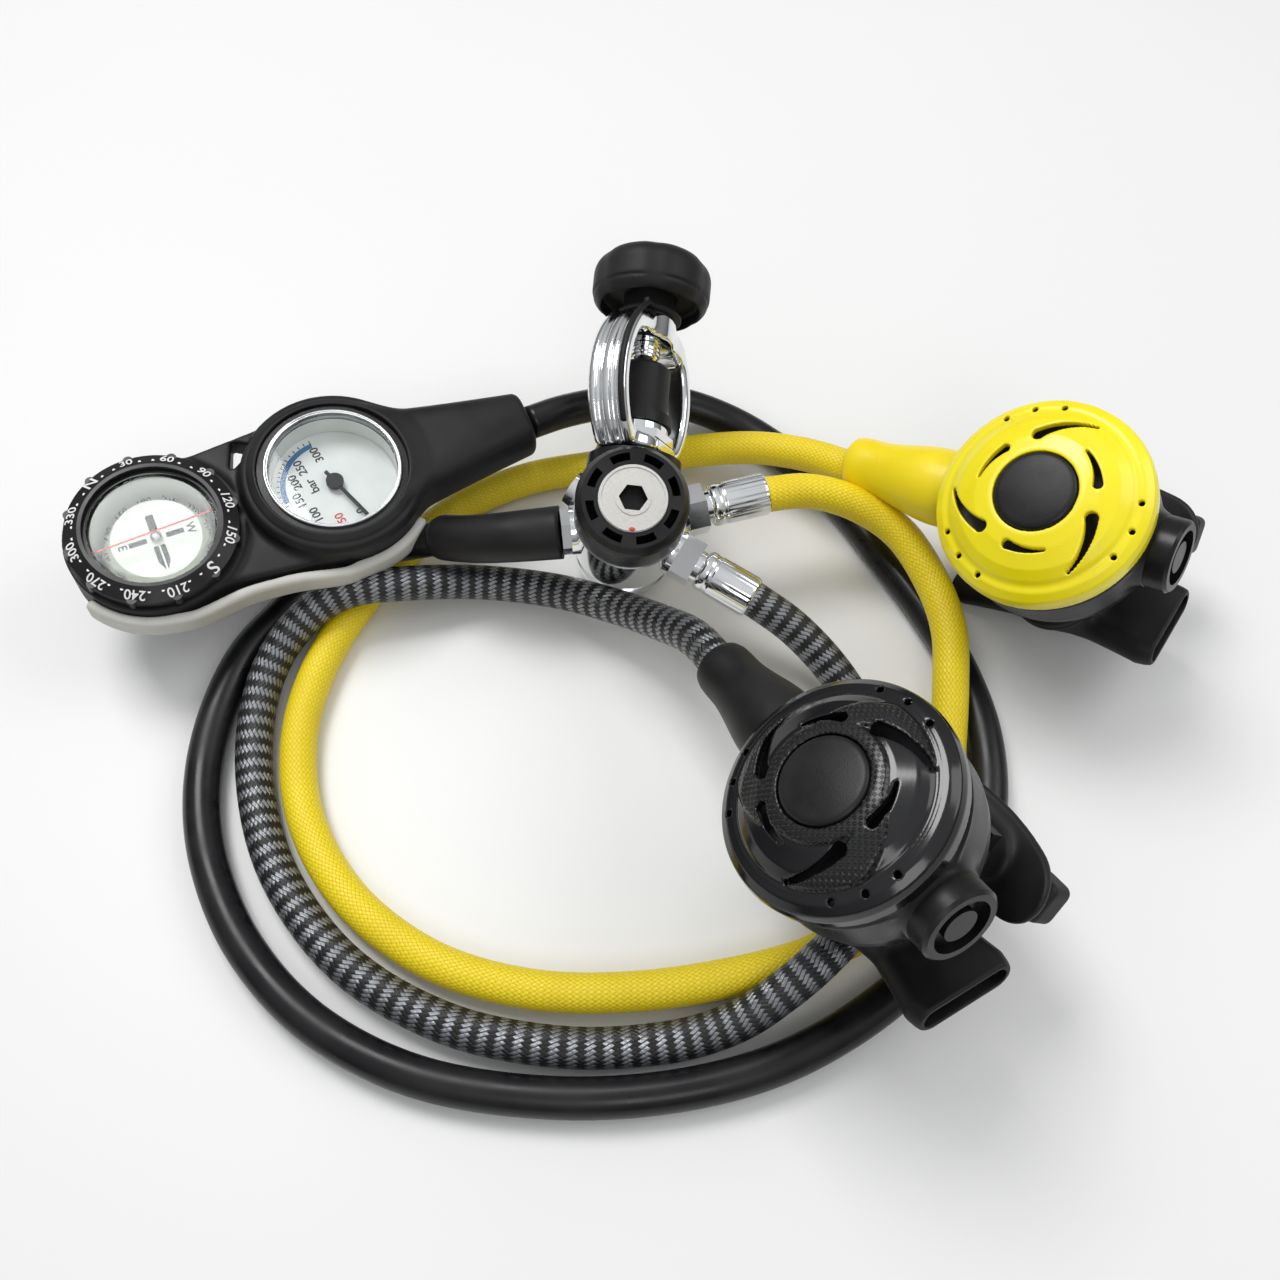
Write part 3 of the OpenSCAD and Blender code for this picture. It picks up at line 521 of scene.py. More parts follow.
def tube(name, route, radius, spacing, sides, material, relief=None):
    """A tube along a smooth route, with UVs, and relief(angle, along) added to its radius."""
    line, at = smooth_route(route, spacing)
    tangent = np.gradient(line, axis=0)
    tangent /= np.linalg.norm(tangent, axis=1)[:, None]
    side = np.cross(tangent[0], (0, 0, 1))
    side /= np.linalg.norm(side)
    frames = []
    for t in tangent:
        side = side - t * side.dot(t)
        side /= np.linalg.norm(side)
        frames.append((side, np.cross(t, side)))
    angle = np.linspace(0, 2 * math.pi, sides, endpoint=False)
    points = []
    for (a, b), c, s in zip(frames, line, at):
        r = radius(s / at[-1]) if callable(radius) else radius
        r = r + (relief(angle, s) if relief else 0 * angle)
        points.append(c + r[:, None] * (np.cos(angle)[:, None] * a + np.sin(angle)[:, None] * b))
    points = np.concatenate(points)
    n = len(line)
    faces, uv = [], []
    for i in range(n - 1):
        for k in range(sides):
            here, there = i * sides, (i + 1) * sides
            after = (k + 1) % sides
            faces.append((here + k, here + after, there + after, there + k))
            u0, u1, v0, v1 = k / sides, (k + 1) / sides, at[i] * MM, at[i + 1] * MM
            uv += [(u0, v0), (u1, v0), (u1, v1), (u0, v1)]
    for first, order in ((0, -1), ((n - 1) * sides, 1)):
        faces.append(list(range(first, first + sides))[::order])
        uv += [(k / sides, at[0 if order < 0 else -1] * MM) for k in range(sides)][::order]
    piece = add_mesh(name, points, faces, TABLE, material, "first_stage", uv=uv)
    path = [tuple(ORIGIN + Vector(p) * MM) for p in line[:: max(1, int(4 / spacing))]]
    path[-1] = tuple(ORIGIN + Vector(line[-1]) * MM)
    return piece, path, at[-1] * MM


def weave_relief(turns, pitch, twill, depth):
    """The braid's strands as a relief in mm, with the same phase as its material."""
    def relief(angle, s):
        u, v = angle / (2 * math.pi) * turns, s * MM / pitch
        p, q = u + v, u - v
        top = np.mod(np.floor(p) - np.floor(q), twill) < twill / 2
        across = np.where(top, np.mod(p, 1), np.mod(q, 1))
        along = np.where(top, np.mod(q, 1), np.mod(p, 1))
        return depth * (np.sin(across * math.pi) ** 0.6 + 0.35 * np.sin(along * math.pi) - 0.9)
    return relief


COARSE = 0.75
octopus_hose, octopus_path, octopus_length = tube(
    "octopus_hose_woven", OCTOPUS_ROUTE, HOSE_R, COARSE, 64, YELLOW_WEAVE,
    weave_relief(**YELLOW_BRAID, depth=0.10))
primary_hose, primary_path, primary_length = tube(
    "primary_hose_braided", PRIMARY_ROUTE, HOSE_R, COARSE, 80, CARBON,
    weave_relief(**CARBON_BRAID, depth=0.15))
gauge_hose, gauge_path, gauge_length = tube(
    "gauge_hose_rubber", GAUGE_ROUTE, HOSE_R, 2.0, 48, HOSE_BLACK)


def protector_radius(t):
    """The hose protector's taper, with a rounded end over its last 7 %."""
    return 9.0 - 1.2 * t - max(0.0, (t - 0.93) / 0.07) ** 2


protector, _, _ = tube("gauge_protector_sleeve", PROTECTOR_ROUTE, protector_radius, 1.0, 48,
                       LOOKS["rubber_black"])
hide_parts("octopus_hose")
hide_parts("primary_hose")
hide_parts("gauge_hose")
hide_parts("gauge_protector")


KNURLED = (34.2, 47.9)


def ferrule(name, node, port_angle, wave):
    """A hose ferrule on the port at that angle, with wave's pattern between the KNURLED heights."""
    profile = arc_profile([(2, 28.5), (6.3, 28.5), (7.2, 29.6), (7.2, 31.5), (6.95, 32), (6.95, 33),
                           (7.2, 33.5), (7.2, 40), (7.2, 47.5), (6.6, 48.5), (5.5, 48.5)], 0.5, 3)
    points, faces = lathe(profile, 120, wave, "x")
    turn = Matrix.Rotation(math.radians(port_angle), 4, "Z")
    piece = add_mesh(name, points, faces, FIRST @ turn, LOOKS["chrome"], "first_stage")
    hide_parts(node)
    return piece


def crimped(angle, height):
    """Deep lengthwise knurls, as on a crimped ferrule."""
    if not KNURLED[0] < height < KNURLED[1]:
        return 0 * angle
    return -0.28 * (0.5 + 0.5 * np.cos(24 * angle)) ** 2


def lined(angle, height):
    """Eight narrow lengthwise lines."""
    if not KNURLED[0] < height < KNURLED[1]:
        return 0 * angle
    part = np.mod(angle * 8 / (2 * math.pi), 1)
    return -0.25 * np.exp(-((part - 0.5) / 0.06) ** 2)


octopus_ferrule = ferrule("octopus_ferrule_crimped", "octopus_ferrule", 20, crimped)
primary_ferrule = ferrule("primary_ferrule_lined", "primary_ferrule", -25, lined)


def sleeve(name, node, matrix, material):
    """The rubber sleeve where a hose meets its second stage: a lip, then a smooth flare."""
    profile = [(4, -75), (6.4, -75), (7.6, -74.6), (8.6, -73.6), (9.1, -71.8), (9.3, -69)]
    for i in range(15):
        t = i / 14
        profile.append((9.3 + 3.7 * (3 * t * t - 2 * t ** 3), -66 + 26 * t))
    profile += [(13, -37), (13, -34.4), (12.6, -34), (5, -34)]
    points, faces = lathe(profile, 72, None, "x")
    points = points + (0, 0, -18)
    piece = add_mesh(name, points, faces, matrix, material, "first_stage")
    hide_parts(node)
    return piece


primary_sleeve = sleeve("primary_sleeve_rubber", "primary_sleeve", PRIMARY,
                        LOOKS["rubber_black"])
octopus_sleeve = sleeve("octopus_sleeve_rubber", "octopus_sleeve", OCTOPUS,
                        LOOKS["rubber_yellow"])


# ---- yoke, knob and dust cap strap ----
ARM_X, ARM_Y, ARM_R = 8, 47, 34


def make_yoke():
    """Two arched arms with two grooves each, a foot on the body and a boss round the screw."""
    f = Field((-30, 20, -11), (30, 76, 11))
    x, y, z = f.x, f.y, f.z
    arch = np.hypot(np.abs(x) + ARM_X, y - ARM_Y)
    outer = np.maximum(arch - ARM_R, 23.4 - y)
    outer = smooth_max(outer, y - 73.4, 4)
    inner = smooth_max(arch - 29, 28.7 - y, 5)
    inner = smooth_max(inner, y - 65.3, 5)
    loop = smooth_max(smooth_max(outer, -inner, 1.4), np.abs(z) - 7.2, 2.6)
    for groove in (-2.6, 2.6):
        loop = smooth_max(loop, 1.25 - np.hypot(outer + 0.15, z - groove), 0.7)
    foot = bar(oval(x, z, 11.5, 4.5), y, 23.2, 28.4, 1.6)
    boss = bar(np.hypot(x, z) - 9.6, y, 65.0, 74.2, 1.2)
    shape = smooth_min(smooth_min(loop, foot, 1.6), boss, 2.5)
    stem_hole = np.where(y > 34, -99, 8.05 - np.hypot(x, z))
    screw_hole = np.where(y < 60, -99, 5.1 - np.hypot(x, z))
    shape = both(shape, stem_hole, screw_hole)
    piece = add_field("yoke_polished", f, shape, YOKE, LOOKS["chrome"], "first_stage")
    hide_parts("yoke")


def make_knob():
    """A rubber hand knob with six soft lobes, hollow below round its hub."""
    f = Field((-22, 75, -22), (22, 98, 22))
    x, y, z = f.x, f.y, f.z
    angle = np.arctan2(z, x)
    r = np.hypot(x, z)
    lobes = 20.5 - 0.5 * (0.5 - 0.5 * np.cos(6 * angle)) ** 4
    body = bar(r - lobes, y, 76, 96, 7.5)
    body = smooth_max(body, -bar(r - 17.2, y, 70, 82.5, 1.0), 0.8)
    hub = bar(r - 9.2, y, 76, 86, 0.6)
    body = smooth_max(body, 0.5 - np.abs(y - 81.4) - np.maximum(0, 19.9 - r) * 3, 0.5)
    shape = np.minimum(body, hub)
    shape = smooth_max(shape, -(np.hypot(r - 12.5, y - 96.6) - 0.9), 0.5)
    shape = np.maximum(shape, -both(r - 5.06, y - 84.2))
    piece = add_field("yoke_knob_rubber", f, shape, YOKE, LOOKS["rubber_black"], "knob")
    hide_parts("yoke_knob")


def make_strap():
    """The dust cap's strap: a ring round the screw, and a thin tail along the arm's edge."""
    f = Field((-30, 27, -12.5), (13, 77, 12.5))
    x, y, z = f.x, f.y, f.z
    flat = np.abs(y - 74.85) - 0.7
    narrow = np.abs(z - 6) - 0.95
    ring = both(np.hypot(x, z) - 11.3, flat, 5.4 - np.hypot(x, z))
    on_arm = np.abs(np.hypot(x - ARM_X, y - ARM_Y) - ARM_R - 0.1) - 0.8
    tail = both(smooth_max(on_arm, narrow, 0.5), x + 9, np.abs(y - 52) - 23.3)
    link = both(np.abs(x + 11.4) - 2.8, flat, narrow)
    shape = np.minimum(np.minimum(ring, tail), link)
    piece = add_field("dust_cap_strap_thin", f, shape, YOKE, LOOKS["rubber_black"], "first_stage")
    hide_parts("dust_cap_strap")


make_yoke()
make_knob()
make_strap()


# ---- second stages ----
MOUTH_TILT = math.radians(20)


def teardrop(x, y, start, end, r_start, r_end, bow):
    """A curved drop from start to end, radius r_start to r_end, bowed outward by bow."""
    best = None
    a, b = np.array(start), np.array(end)
    across = np.array([-(b - a)[1], (b - a)[0]]) / np.linalg.norm(b - a)
    if across.dot(a + b) < 0:
        across = -across
    for t in np.linspace(0, 1, 14):
        c = a + (b - a) * t + across * bow * 4 * t * (1 - t)
        d = np.hypot(x - c[0], y - c[1]) - (r_start + (r_end - r_start) * t ** 0.8)
        best = d if best is None else np.minimum(best, d)
    return best


def polar(r, degrees):
    """The x and y of a point at radius r and an angle."""
    a = math.radians(degrees)
    return (r * math.cos(a), r * math.sin(a))


def panel_mask(x, y, turn):
    """1 on the raised, dimpled collar round the button and its three swirling arms, 0 beside them."""
    r = np.hypot(x, y)
    slot_line = turn + 92 - 4.9 * (r - 22.6)
    past = np.mod(np.degrees(np.arctan2(y, x)) - slot_line, 120)
    arm = np.clip((past - 3) / 3, 0, 1) * np.clip((50 - past) / 4, 0, 1)
    arm = arm * np.clip((27.4 - r) / 0.8, 0, 1)
    return np.maximum(arm, np.clip((17.0 - r) / 0.7, 0, 1))


def make_cover(which, matrix, turn, swirls):
    """A front cover: a stepped dome with three groups of two curved slots and three holes. With
    swirls, the collar and arms between the slots stand 0.75 mm proud and are dimpled."""
    f = Field((-34.5, -34.5, -6.5), (34.5, 34.5, 11.5), FINE * 0.93)
    x, y, z = f.x, f.y, f.z
    r = np.hypot(x, y)
    top = [(0, -5), (33, -5), (33.2, -1), (32.6, 1.4), (30.4, 3.2), (27.6, 4.6), (24, 7.2),
           (18.5, 9.2), (14.2, 10), (0, 10)]
    skin = polygon(r, z, top)
    skin = smooth_max(skin, -(np.hypot(r - 29.0, z - 5.2) - 1.5), 0.8)
    hollow = polygon(r, z, [(-1, -9), (31.6, -9), (31.6, 0.9), (28.4, 1.4), (22, 5), (15, 7.4),
                            (-1, 7.4)])
    if swirls:
        low = (1 - panel_mask(x, y, turn)) * np.clip((28.2 - r) / 1.2, 0, 1)
        skin = skin + 0.75 * low
    shape = np.maximum(skin, -hollow)
    for third in (turn, turn + 120, turn + 240):
        a = third + 92
        slot = teardrop(x, y, polar(18.8, a + 19), polar(26.2, a - 20), 2.0, 0.6, 1.6)
        shape = smooth_max(shape, -slot, 0.5)
        a = third + 41
        slot = teardrop(x, y, polar(17.8, a - 17), polar(18.6, a + 19), 1.5, 0.5, 0.9)
        shape = smooth_max(shape, -slot, 0.5)
        for a in (third + 98.5, third + 116, third + 133.5):
            cx, cy = polar(29.4, a)
            shape = smooth_max(shape, 0.95 - np.hypot(x - cx, y - cy), 0.3)
    shape = np.maximum(shape, 12.75 - r)
    name = "cover_" + ("black" if which == "primary" else "yellow")
    points, quads = f.mesh(shape)
    panel = panel_mask(points[:, 0], points[:, 1], turn) if swirls else np.zeros(len(points))
    piece = add_mesh(which + "_cover_shell", points, quads, matrix, LOOKS[name],
                     which + "_second_stage", mask=panel)
    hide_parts(which + "_cover")


def mouth_frame(x, y, z):
    """Coordinates in the mouthpiece's own frame, Z up its tube from the teeth."""
    c, s = math.cos(MOUTH_TILT), math.sin(MOUTH_TILT)
    dy, dz = y - 10, z + 37
    return x, dy * c + dz * s, -dy * s + dz * c + 35


def case_fields():
    """The mesh of a case: a bowl with a side barrel, a mouthpiece spout and an exhaust port."""
    f = Field((-36, -35, -54), (36, 35, -2))
    x, y, z = f.x, f.y, f.z
    r = np.hypot(x, y)
    exhaust = np.hypot(x, y + 14)
    barrel = np.hypot(y, z + 18)
    mx, my, mz = mouth_frame(x, y, z)
    body = polygon(r, z, [(-1, -38), (23, -38), (26.5, -36.5), (30.6, -28), (31.5, -23), (31.5, -4),
                          (-1, -4)])
    body = smooth_min(body, bar(barrel - 11.5, x, -33.8, 33, 0.8), 5)
    body = smooth_min(body, bar(oval(mx, my, 8, 6), mz, 25, 40, 0.3), 3)
    body = smooth_min(body, bar(exhaust - 10.4, z, -39.4, -36, 0.2), 1.5)
    lip = np.hypot(r - 31.2, z + 9.5) - 0.9
    body = smooth_min(body, lip, 0.8)
    floor = polygon(r, z, [(-1, -35.5), (22, -35.5), (29, -25.9), (-1, -25.9)])
    room = np.minimum(bar(r - 29, z, -26, 4), floor)
    body = both(body, -room, 7.6 - barrel)
    body = np.maximum(body, -bar(oval(mx, my, 6.2, 6), mz, 22, 42))
    body = np.maximum(body, -both(exhaust - 8.5, 2.2 - exhaust, z + 33))
    return f.mesh(body)


def tee_fields():
    """The mesh of an exhaust tee: a flat duct that flares to both sides, under a ringed neck."""
    f = Field((-38, -40, -78), (38, 12, -34))
    x, y, z = f.x, f.y, f.z
    exhaust = np.hypot(x, y + 14)
    span = math.atan2(14, -32)
    c, s = math.cos(span), math.sin(span)
    dy, dz = y + 13, z + 59
    u, t = dy * c + dz * s, -dy * s + dz * c
    flare = np.clip(np.abs(x) / 34, 0, 1)
    wide = 12.5 + 4.6 * flare ** 1.5 - 0.35 * np.maximum(0, np.abs(x) - 31)
    thick = 6.8 - 1.9 * flare
    section = np.hypot(np.maximum(np.abs(u) - (wide - thick), 0), t)
    wing = bar(section - thick, x, -36, 36, 0.7)
    duct = section - (thick - 1.6)
    neck = np.maximum(bar(exhaust - 13.6, z, -66, -39.8, 0.8), t)
    shape = smooth_min(wing, neck, 5)
    for level in (-42.4, -46.2):
        shape = smooth_min(shape, np.hypot(exhaust - 14.0, z - level) - 1.35, 1.0)
    shape = np.maximum(shape, -duct)
    well = both(exhaust - 10.8, -z - 70, t)
    shape = np.maximum(shape, -well)
    return f.mesh(shape)


def mouthpiece_fields():
    """The mesh of a mouthpiece in its own frame: tube, cuff, curved flange and two bite tabs."""
    f = Field((-36, -16, -4), (36, 16, 33))
    x, y, z = f.x, f.y, f.z
    t = np.clip((z - 8) / 20, 0, 1)
    grow = t * t * (3 - 2 * t)
    tube_shape = bar(oval(x, y, 7.9 + 1.9 * grow, 7.4 - 1.0 * grow), z, 4, 29.6, 0.9)
    cuff = np.hypot(oval(x, y, 9.8, 6.4), z - 22.6) - 1.0
    bend = z - 8.2 - 0.0052 * x * x + 0.012 * y * y
    outline = smooth_max(np.abs(x) - 33 + 0.02 * y * y, np.abs(y) - 13.2 + 0.0042 * x * x, 9)
    flange = bar(outline, bend, -1.3, 1.5, 1.0)
    tabs = bar(smooth_max(np.abs(np.abs(x) - 25.5) - 5.5, np.abs(y) - 6.5, 3), z, -1.6, 9, 2.4)
    shape = smooth_min(smooth_min(tube_shape, flange, 3.5), tabs, 1.5)
    shape = smooth_min(shape, cuff, 0.8)
    shape = np.maximum(shape, -bar(oval(x, y, 6.2, 6), z, -9, 30.5))
    shape = np.maximum(shape, -bar(oval(x, y, 8.1, 6), z, 26, 36))
    return f.mesh(shape)


def dome(matrix, which):
    """The purge button: a shallow dome with a rounded rim, its flange and its stem."""
    profile = [(0.01, 11.35)]
    for i in range(1, 13):
        r = 11.2 * i / 12
        profile.append((r, 11.35 - 0.75 * (i / 12) ** 2))
    profile += [(11.9, 10.3), (12.3, 9.7), (12.4, 9.0), (12.4, 6.4), (14.2, 6.4), (14.2, 5.5),
                (3, 5.5), (3, -1.4), (0.01, -1.4)]
    points, faces = lathe(profile[::-1], 96)
    piece = add_mesh(which + "_purge_button_domed", points, faces, matrix, LOOKS["button_black"],
                     which + "_purge")
    auto_smooth(piece)
    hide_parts(which + "_purge_button")


CASE, TEE, MOUTHPIECE = case_fields(), tee_fields(), mouthpiece_fields()
MOUTH = (Matrix.Translation((0, 10, -37)) @ Matrix.Rotation(MOUTH_TILT, 4, "X")
         @ Matrix.Translation((0, 0, -35)))
for which, matrix, turn in (("primary", PRIMARY, -18), ("octopus", OCTOPUS, 0)):
    body = which + "_second_stage"
    make_cover(which, matrix, turn, which == "primary")
    dome(matrix, which)
    for name, (points, quads), place, slot in (
            ("case", CASE, matrix, "case_black"), ("exhaust_tee", TEE, matrix, "rubber_black"),
            ("mouthpiece", MOUTHPIECE, matrix @ MOUTH, "rubber_black")):
        piece = add_mesh(f"{which}_{name}_moulded", points, quads, place, LOOKS[slot], body)
        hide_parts(f"{which}_{name}")


# ---- console ----
def console_outline(x, y):
    """Distance to the console's outline from above, which the strip follows."""
    web = polygon(x, y, [(4, -26), (GAUGE_X - 8, -29), (GAUGE_X - 8, 29), (4, 26)])
    discs = np.minimum(np.hypot(x, y) - 28.6, np.hypot(x - GAUGE_X, y) - 31)
    return smooth_min(discs, web, 8)


def make_boot():
    """The rubber boot: a cup for each instrument, a web with a gap between them, and a handle."""
    f = Field((-31, -35, -29), (136, 35, 4), max(FINE, 0.5))
    x, y, z = f.x, f.y, f.z
    compass = polygon(np.hypot(x, y), z, [(-1, -27), (22.5, -27), (27, -24.5), (28.6, -20),
                                          (28.6, -6.4), (-1, -6.4)])
    gx = np.hypot(x - GAUGE_X, y)
    gauge = polygon(gx, z, [(-1, -17), (24, -17), (28, -14.5), (31, -11), (31, -3.4), (30, -1.6),
                            (25.6, 0.8), (-1, 0.8)])
    gauge = smooth_max(gauge, 0.45 - np.hypot(gx - 28.6, z + 0.6), 0.5)
    web = polygon(x, y, [(6, -24), (GAUGE_X - 8, -29), (GAUGE_X - 8, 29), (6, 24)])
    web = bar(web, z, -16, -7.4, 1.5)
    ax = np.clip((x - GAUGE_X - 18) / (71 - 18), 0, 1)
    radius = 21 - 9.5 * ax ** 0.75
    tail = np.hypot(y, (z + 9.5) * 1.12) - radius
    handle = smooth_max(bar(tail, x, GAUGE_X + 10, GAUGE_X + 71, 2.2), np.abs(z + 8.8) - 9.2, 4)
    body = smooth_min(smooth_min(compass, web, 3.5), smooth_min(gauge, handle, 5), 3)
    gap = polygon(x, y, [(31, 16.5), (39.5, 21.5), (34, 25)]) - 0.8
    body = smooth_max(body, -gap, 1.2)
    body = np.maximum(body, -bar(np.hypot(x, y) - 24.8, z, -24.7, 12))
    body = np.maximum(body, -bar(gx - 25.2, z, -14.2, 12))
    body = np.maximum(body, -bar(np.hypot(y, z + 10) - 5, x, GAUGE_X + 20, GAUGE_X + 50))
    piece = add_field("console_boot_rubber", f, body, CONSOLE, LOOKS["rubber_black"], "console")
    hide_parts("console_boot")


def make_strip():
    """The grey strip along one side of the console, cut off square at both ends."""
    f = Field((-34, -36, -22), (95, 12, -6))
    x, y, z = f.x, f.y, f.z
    edge = console_outline(x, y)
    strip = bar(np.abs(edge - 1.4) - 1.9, z, -18.5, -9.5, 1.6)
    strip = smooth_max(strip, y * math.cos(0.44) + x * -math.sin(0.44) + 2, 2)
    strip = smooth_max(strip, (x - GAUGE_X) * math.cos(0.73) + y * math.sin(0.73) - 2, 2)
    strip = np.maximum(strip, 0.05 - edge)
    piece = add_field("console_strip_rubber", f, strip, CONSOLE, LOOKS["strip_grey"], "console")
    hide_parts("console_strip")


make_boot()
make_strip()


# ---- dials ----
def glyphs(entries):
    """One mesh of generic numbers: entries are (text, size, x, y, z, turn, tilt) in mm."""
    points, faces = [], []
    for text, size, x, y, z, turn, tilt in entries:
        curve = bpy.data.curves.new("glyph", "FONT")
        curve.body = text
        curve.size = size
        curve.align_x = "CENTER"
        curve.align_y = "CENTER"
        curve.extrude = 0.04
        curve.offset = 0.012 * size
        holder = bpy.data.objects.new("glyph", curve)
        bpy.context.scene.collection.objects.link(holder)
        bpy.context.view_layer.update()
        made = holder.evaluated_get(bpy.context.evaluated_depsgraph_get())
        mesh = bpy.data.meshes.new_from_object(made)
        place = (Matrix.Translation((x, y, z)) @ Matrix.Rotation(math.radians(turn), 4, "Z")
                 @ Matrix.Rotation(math.radians(tilt), 4, "X"))
        start = len(points)
        points += [tuple(place @ v.co) for v in mesh.vertices]
        faces += [[start + i for i in p.vertices] for p in mesh.polygons]
        bpy.data.objects.remove(holder)
        bpy.data.meshes.remove(mesh)
        bpy.data.curves.remove(curve)
    return points, faces


def patch(outline, z, thick=0.08):
    """A thin printed shape with that outline."""
    n = len(outline)
    points = [(x, y, z) for x, y in outline] + [(x, y, z + thick) for x, y in outline]
    faces = [list(range(n))[::-1], list(range(n, 2 * n))]
    faces += [(i, (i + 1) % n, n + (i + 1) % n, n + i) for i in range(n)]
    return points, faces


def arc_band(r0, r1, a0, a1, steps=40):
    """The outline of a band between two radii and two angles."""
    angles = np.radians(np.linspace(a0, a1, steps))
    outer = [(r1 * math.cos(a), r1 * math.sin(a)) for a in angles]
    inner = [(r0 * math.cos(a), r0 * math.sin(a)) for a in angles[::-1]]
    return outer + inner


def tick(r0, r1, angle, width):
    """The outline of a radial tick mark."""
    a = math.radians(angle)
    c, s = math.cos(a), math.sin(a)
    return [(r * c - w * s, r * s + w * c) for r, w in
            ((r0, -width / 2), (r1, -width / 2), (r1, width / 2), (r0, width / 2))]


def add_print(name, parts, matrix, material, body):
    """One piece of printing from parts, a list of (points, faces)."""
    points, faces = [], []
    for part_points, part_faces in parts:
        start = len(points)
        points += list(part_points)
        faces += [[start + i for i in face] for face in part_faces]
    return add_mesh(name, points, faces, matrix, material, body, smooth=False)


def make_gauge_print():
    face = -10.98
    above = face + 0.05
    labels = {0: -70, 50: -102, 100: -137, 150: -171, 200: -203, 250: -229, 300: -262}
    words = [(str(v), 4.1, *polar(13.4, a), above, 98, 0) for v, a in labels.items() if v != 50]
    words.append(("bar", 4.4, *polar(7.6, 165), above, 98, 0))
    black = [glyphs(words)]
    for v in range(0, 301, 10):
        a = np.interp(v, list(labels), list(labels.values()))
        black.append(patch(tick(18.6 if v % 50 else 17.6, 19.6, a, 0.35), face))
    add_print("gauge_numbers", black, GAUGE, BLACK_PRINT, "console")
    add_print("gauge_low_mark", [glyphs([("50", 4.1, *polar(13.4, -102), above, 98, 0)]),
                                 patch(arc_band(17.2, 18.2, -70, -102), face)],
              GAUGE, RED_PRINT, "console")
    add_print("gauge_high_band", [patch(arc_band(16.6, 18.4, -175, -262), face)], GAUGE, BLUE_PRINT,
              "console")
    sides = 128
    profile = [(21.6, -3.2), (23.0, -3.2), (23.0, 0.6), (22.3, 0.9), (21.6, 0.4)]
    points, faces = lathe(arc_profile(profile, 0.4), sides, cap=False)
    last = len(points) - sides
    for i in range(sides):
        after = (i + 1) % sides
        faces.append((i, after, last + after, last + i))
    add_mesh("gauge_ring", points, faces, GAUGE, LOOKS["steel"], "console")


def make_compass_print():
    north = 122
    entries = []
    for n in range(0, 360, 30):
        angle = north - n
        text = {0: "N", 180: "S"}.get(n, str(n))
        size = 6.2 if text in "NS" else 4.5
        entries.append((text, size, *polar(25.1, angle), -1.2, angle - 90, -28))
    parts = [glyphs(entries)]
    for n in range(0, 360, 10):
        if n % 30:
            x, y = polar(24.2, north - n)
            angles = np.linspace(0, 2 * math.pi, 10)[:-1]
            dot = [(x + 0.5 * math.cos(a), y + 0.5 * math.sin(a)) for a in angles]
            parts.append(patch(dot, -0.95, 0.12))
    add_print("bezel_numbers", parts, CONSOLE, WHITE_PRINT, "bezel")
    face = -9.97
    arms = ([(-1.3, 3), (-1.3, 9), (1.3, 9), (1.3, 3)],
            [(3.2, -0.9), (3.2, 0.9), (9, 0.9), (9, -0.9)],
            [(-9, -0.9), (-9, 0.9), (-3.2, 0.9), (-3.2, -0.9)],
            [(-1.9, -3), (-0.3, -3), (-0.3, -12.4), (-1.9, -9)],
            [(0.3, -3), (1.9, -3), (1.9, -9), (0.3, -12.4)])
    card = [patch(outline, face) for outline in arms]
    above = face + 0.05
    card.append(glyphs([("W", 4.0, 11.2, 0, above, -90, 0), ("E", 4.0, -11.2, 0, above, -90, 0)]))
    card.append(glyphs([(str(n), 3.6, *polar(16.2, -90 - n), -13.0, -180 - n, 62)
                        for n in range(0, 360, 30)]))
    add_print("card_marks", card, CONSOLE, BLACK_PRINT, "card")
    add_print("lubber_line", [patch([(-20.2, -2.2), (-20.2, -1.6), (20.2, 0.9), (20.2, 0.3)], -4.25, 0.1)],
              CONSOLE, RED_PRINT, "console")
    points, faces = lathe([(0.01, -9.0), (1.9, -9.0), (1.9, -8.5), (0.9, -8.1), (0.01, -8.0)], 32)
    add_mesh("card_pivot_cap", points, faces, CONSOLE, LOOKS["steel"], "card")


make_gauge_print()
make_compass_print()


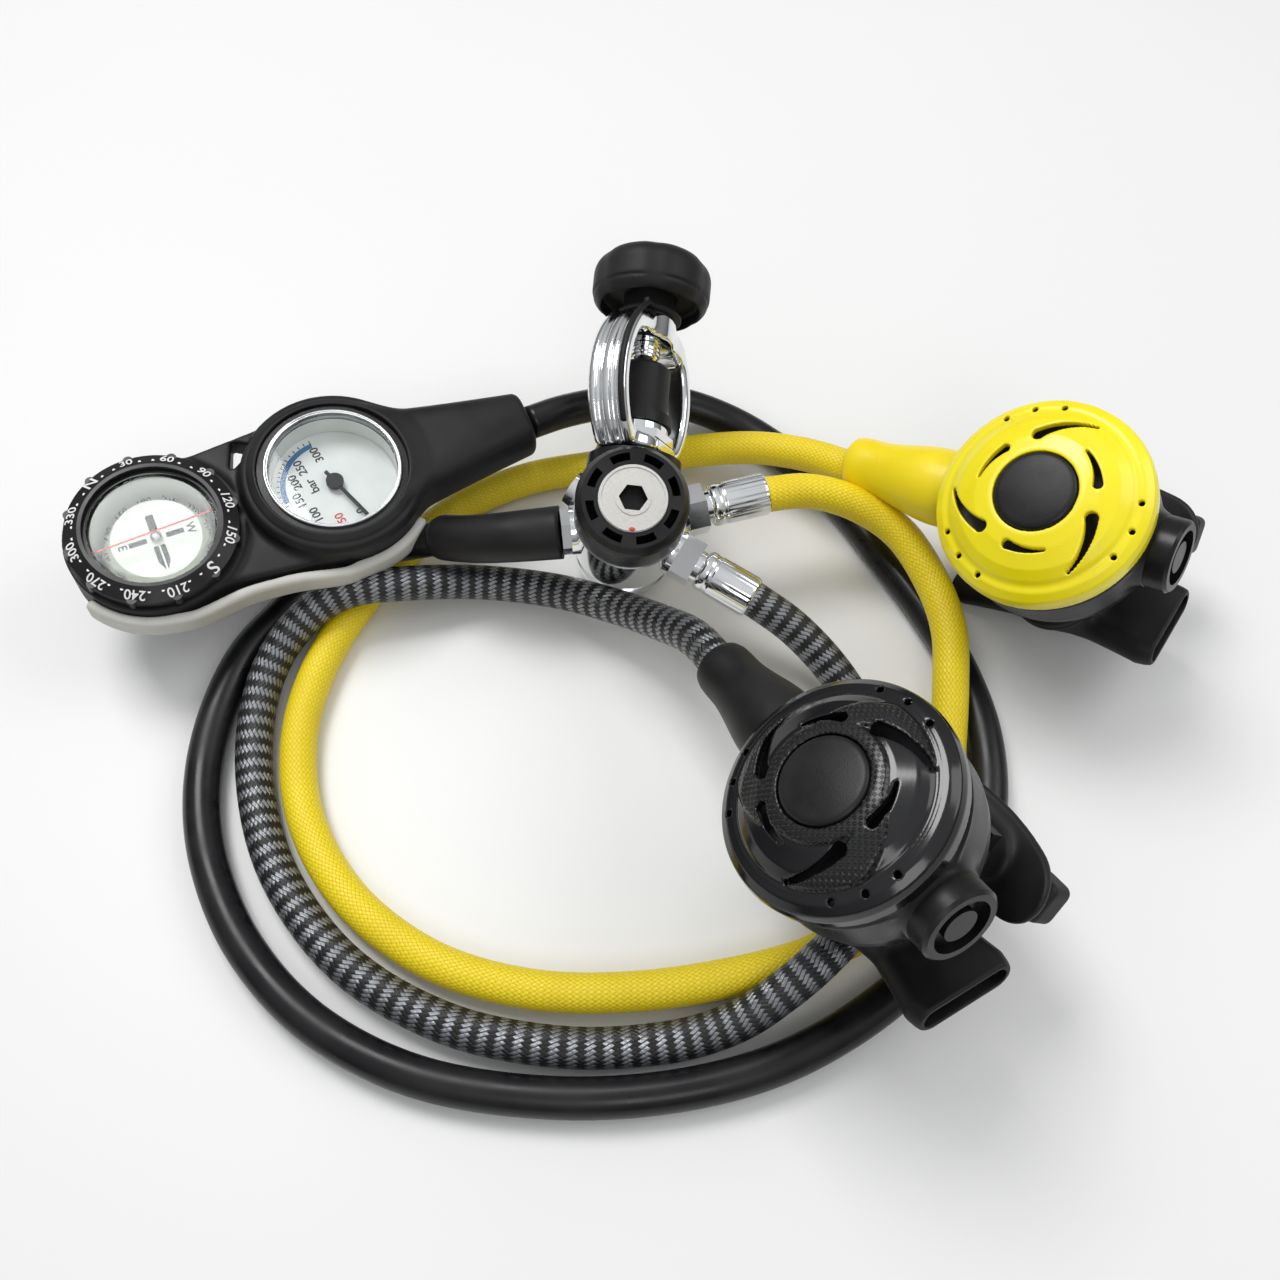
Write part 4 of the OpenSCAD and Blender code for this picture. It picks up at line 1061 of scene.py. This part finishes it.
# ---- small marks ----
def make_paint_dab():
    """The red dab of paint on the adjuster."""
    f = Field((-3, -3, -1), (3, 3, 1.5), 0.2)
    d = np.sqrt((f.x / 1.1) ** 2 + (f.y / 0.7) ** 2 + (f.z / 0.5) ** 2) - 1
    place = FIRST @ Matrix.Translation((0.6, -10.2, 32.1))
    add_field("paint_dab", f, d * 0.6, place, RED_PRINT, "first_stage")


make_paint_dab()


# ---- floor and light ----
def make_floor():
    m, tree, shader = new_material("pale_floor")
    slow = noise(tree, 3, 2).outputs["Fac"]
    tree.links.new(mix_colour(tree, slow, (0.80, 0.80, 0.79), (0.84, 0.84, 0.83)),
                   shader.inputs["Base Color"])
    shader.inputs["Roughness"].default_value = 0.45
    mesh = bpy.data.meshes.new("floor")
    s = 3.0
    mesh.from_pydata([(-s, -s, 0), (s, -s, 0), (s, s, 0), (-s, s, 0)], [], [(0, 1, 2, 3)])
    mesh.materials.append(m)
    floor = bpy.data.objects.new("floor", mesh)
    bpy.context.scene.collection.objects.link(floor)


def add_light(name, place, target, size, power):
    light = bpy.data.lights.new(name, "AREA")
    light.energy = power
    light.size = size
    holder = bpy.data.objects.new(name, light)
    bpy.context.scene.collection.objects.link(holder)
    holder.location = place
    holder.rotation_euler = (Vector(target) - Vector(place)).to_track_quat("-Z", "Y").to_euler()


make_floor()
add_light("key", (-0.45, 0.55, 1.3), (0, 0, 0), 0.6, 11)
add_light("fill", (0.9, 0.2, 1.0), (0, 0, 0), 0.7, 3.4)
add_light("front", (0.1, -1.0, 1.2), (0, 0, 0), 0.5, 2.5)


def make_world():
    """A soft box: bright overhead, darker toward the horizon."""
    world = bpy.data.worlds.new("studio")
    bpy.context.scene.world = world
    world.use_nodes = True
    tree = world.node_tree
    place = tree.nodes.new("ShaderNodeTexCoord")
    split = tree.nodes.new("ShaderNodeSeparateXYZ")
    tree.links.new(place.outputs["Generated"], split.inputs[0])
    tree.links.new(ramp(tree, split.outputs[2], 0, 1, 0.10, 0.72), tree.nodes["Background"].inputs[1])
    tree.nodes["Background"].inputs[0].default_value = (0.97, 0.985, 1.0, 1)


make_world()
bpy.context.scene.view_settings.view_transform = "Standard"
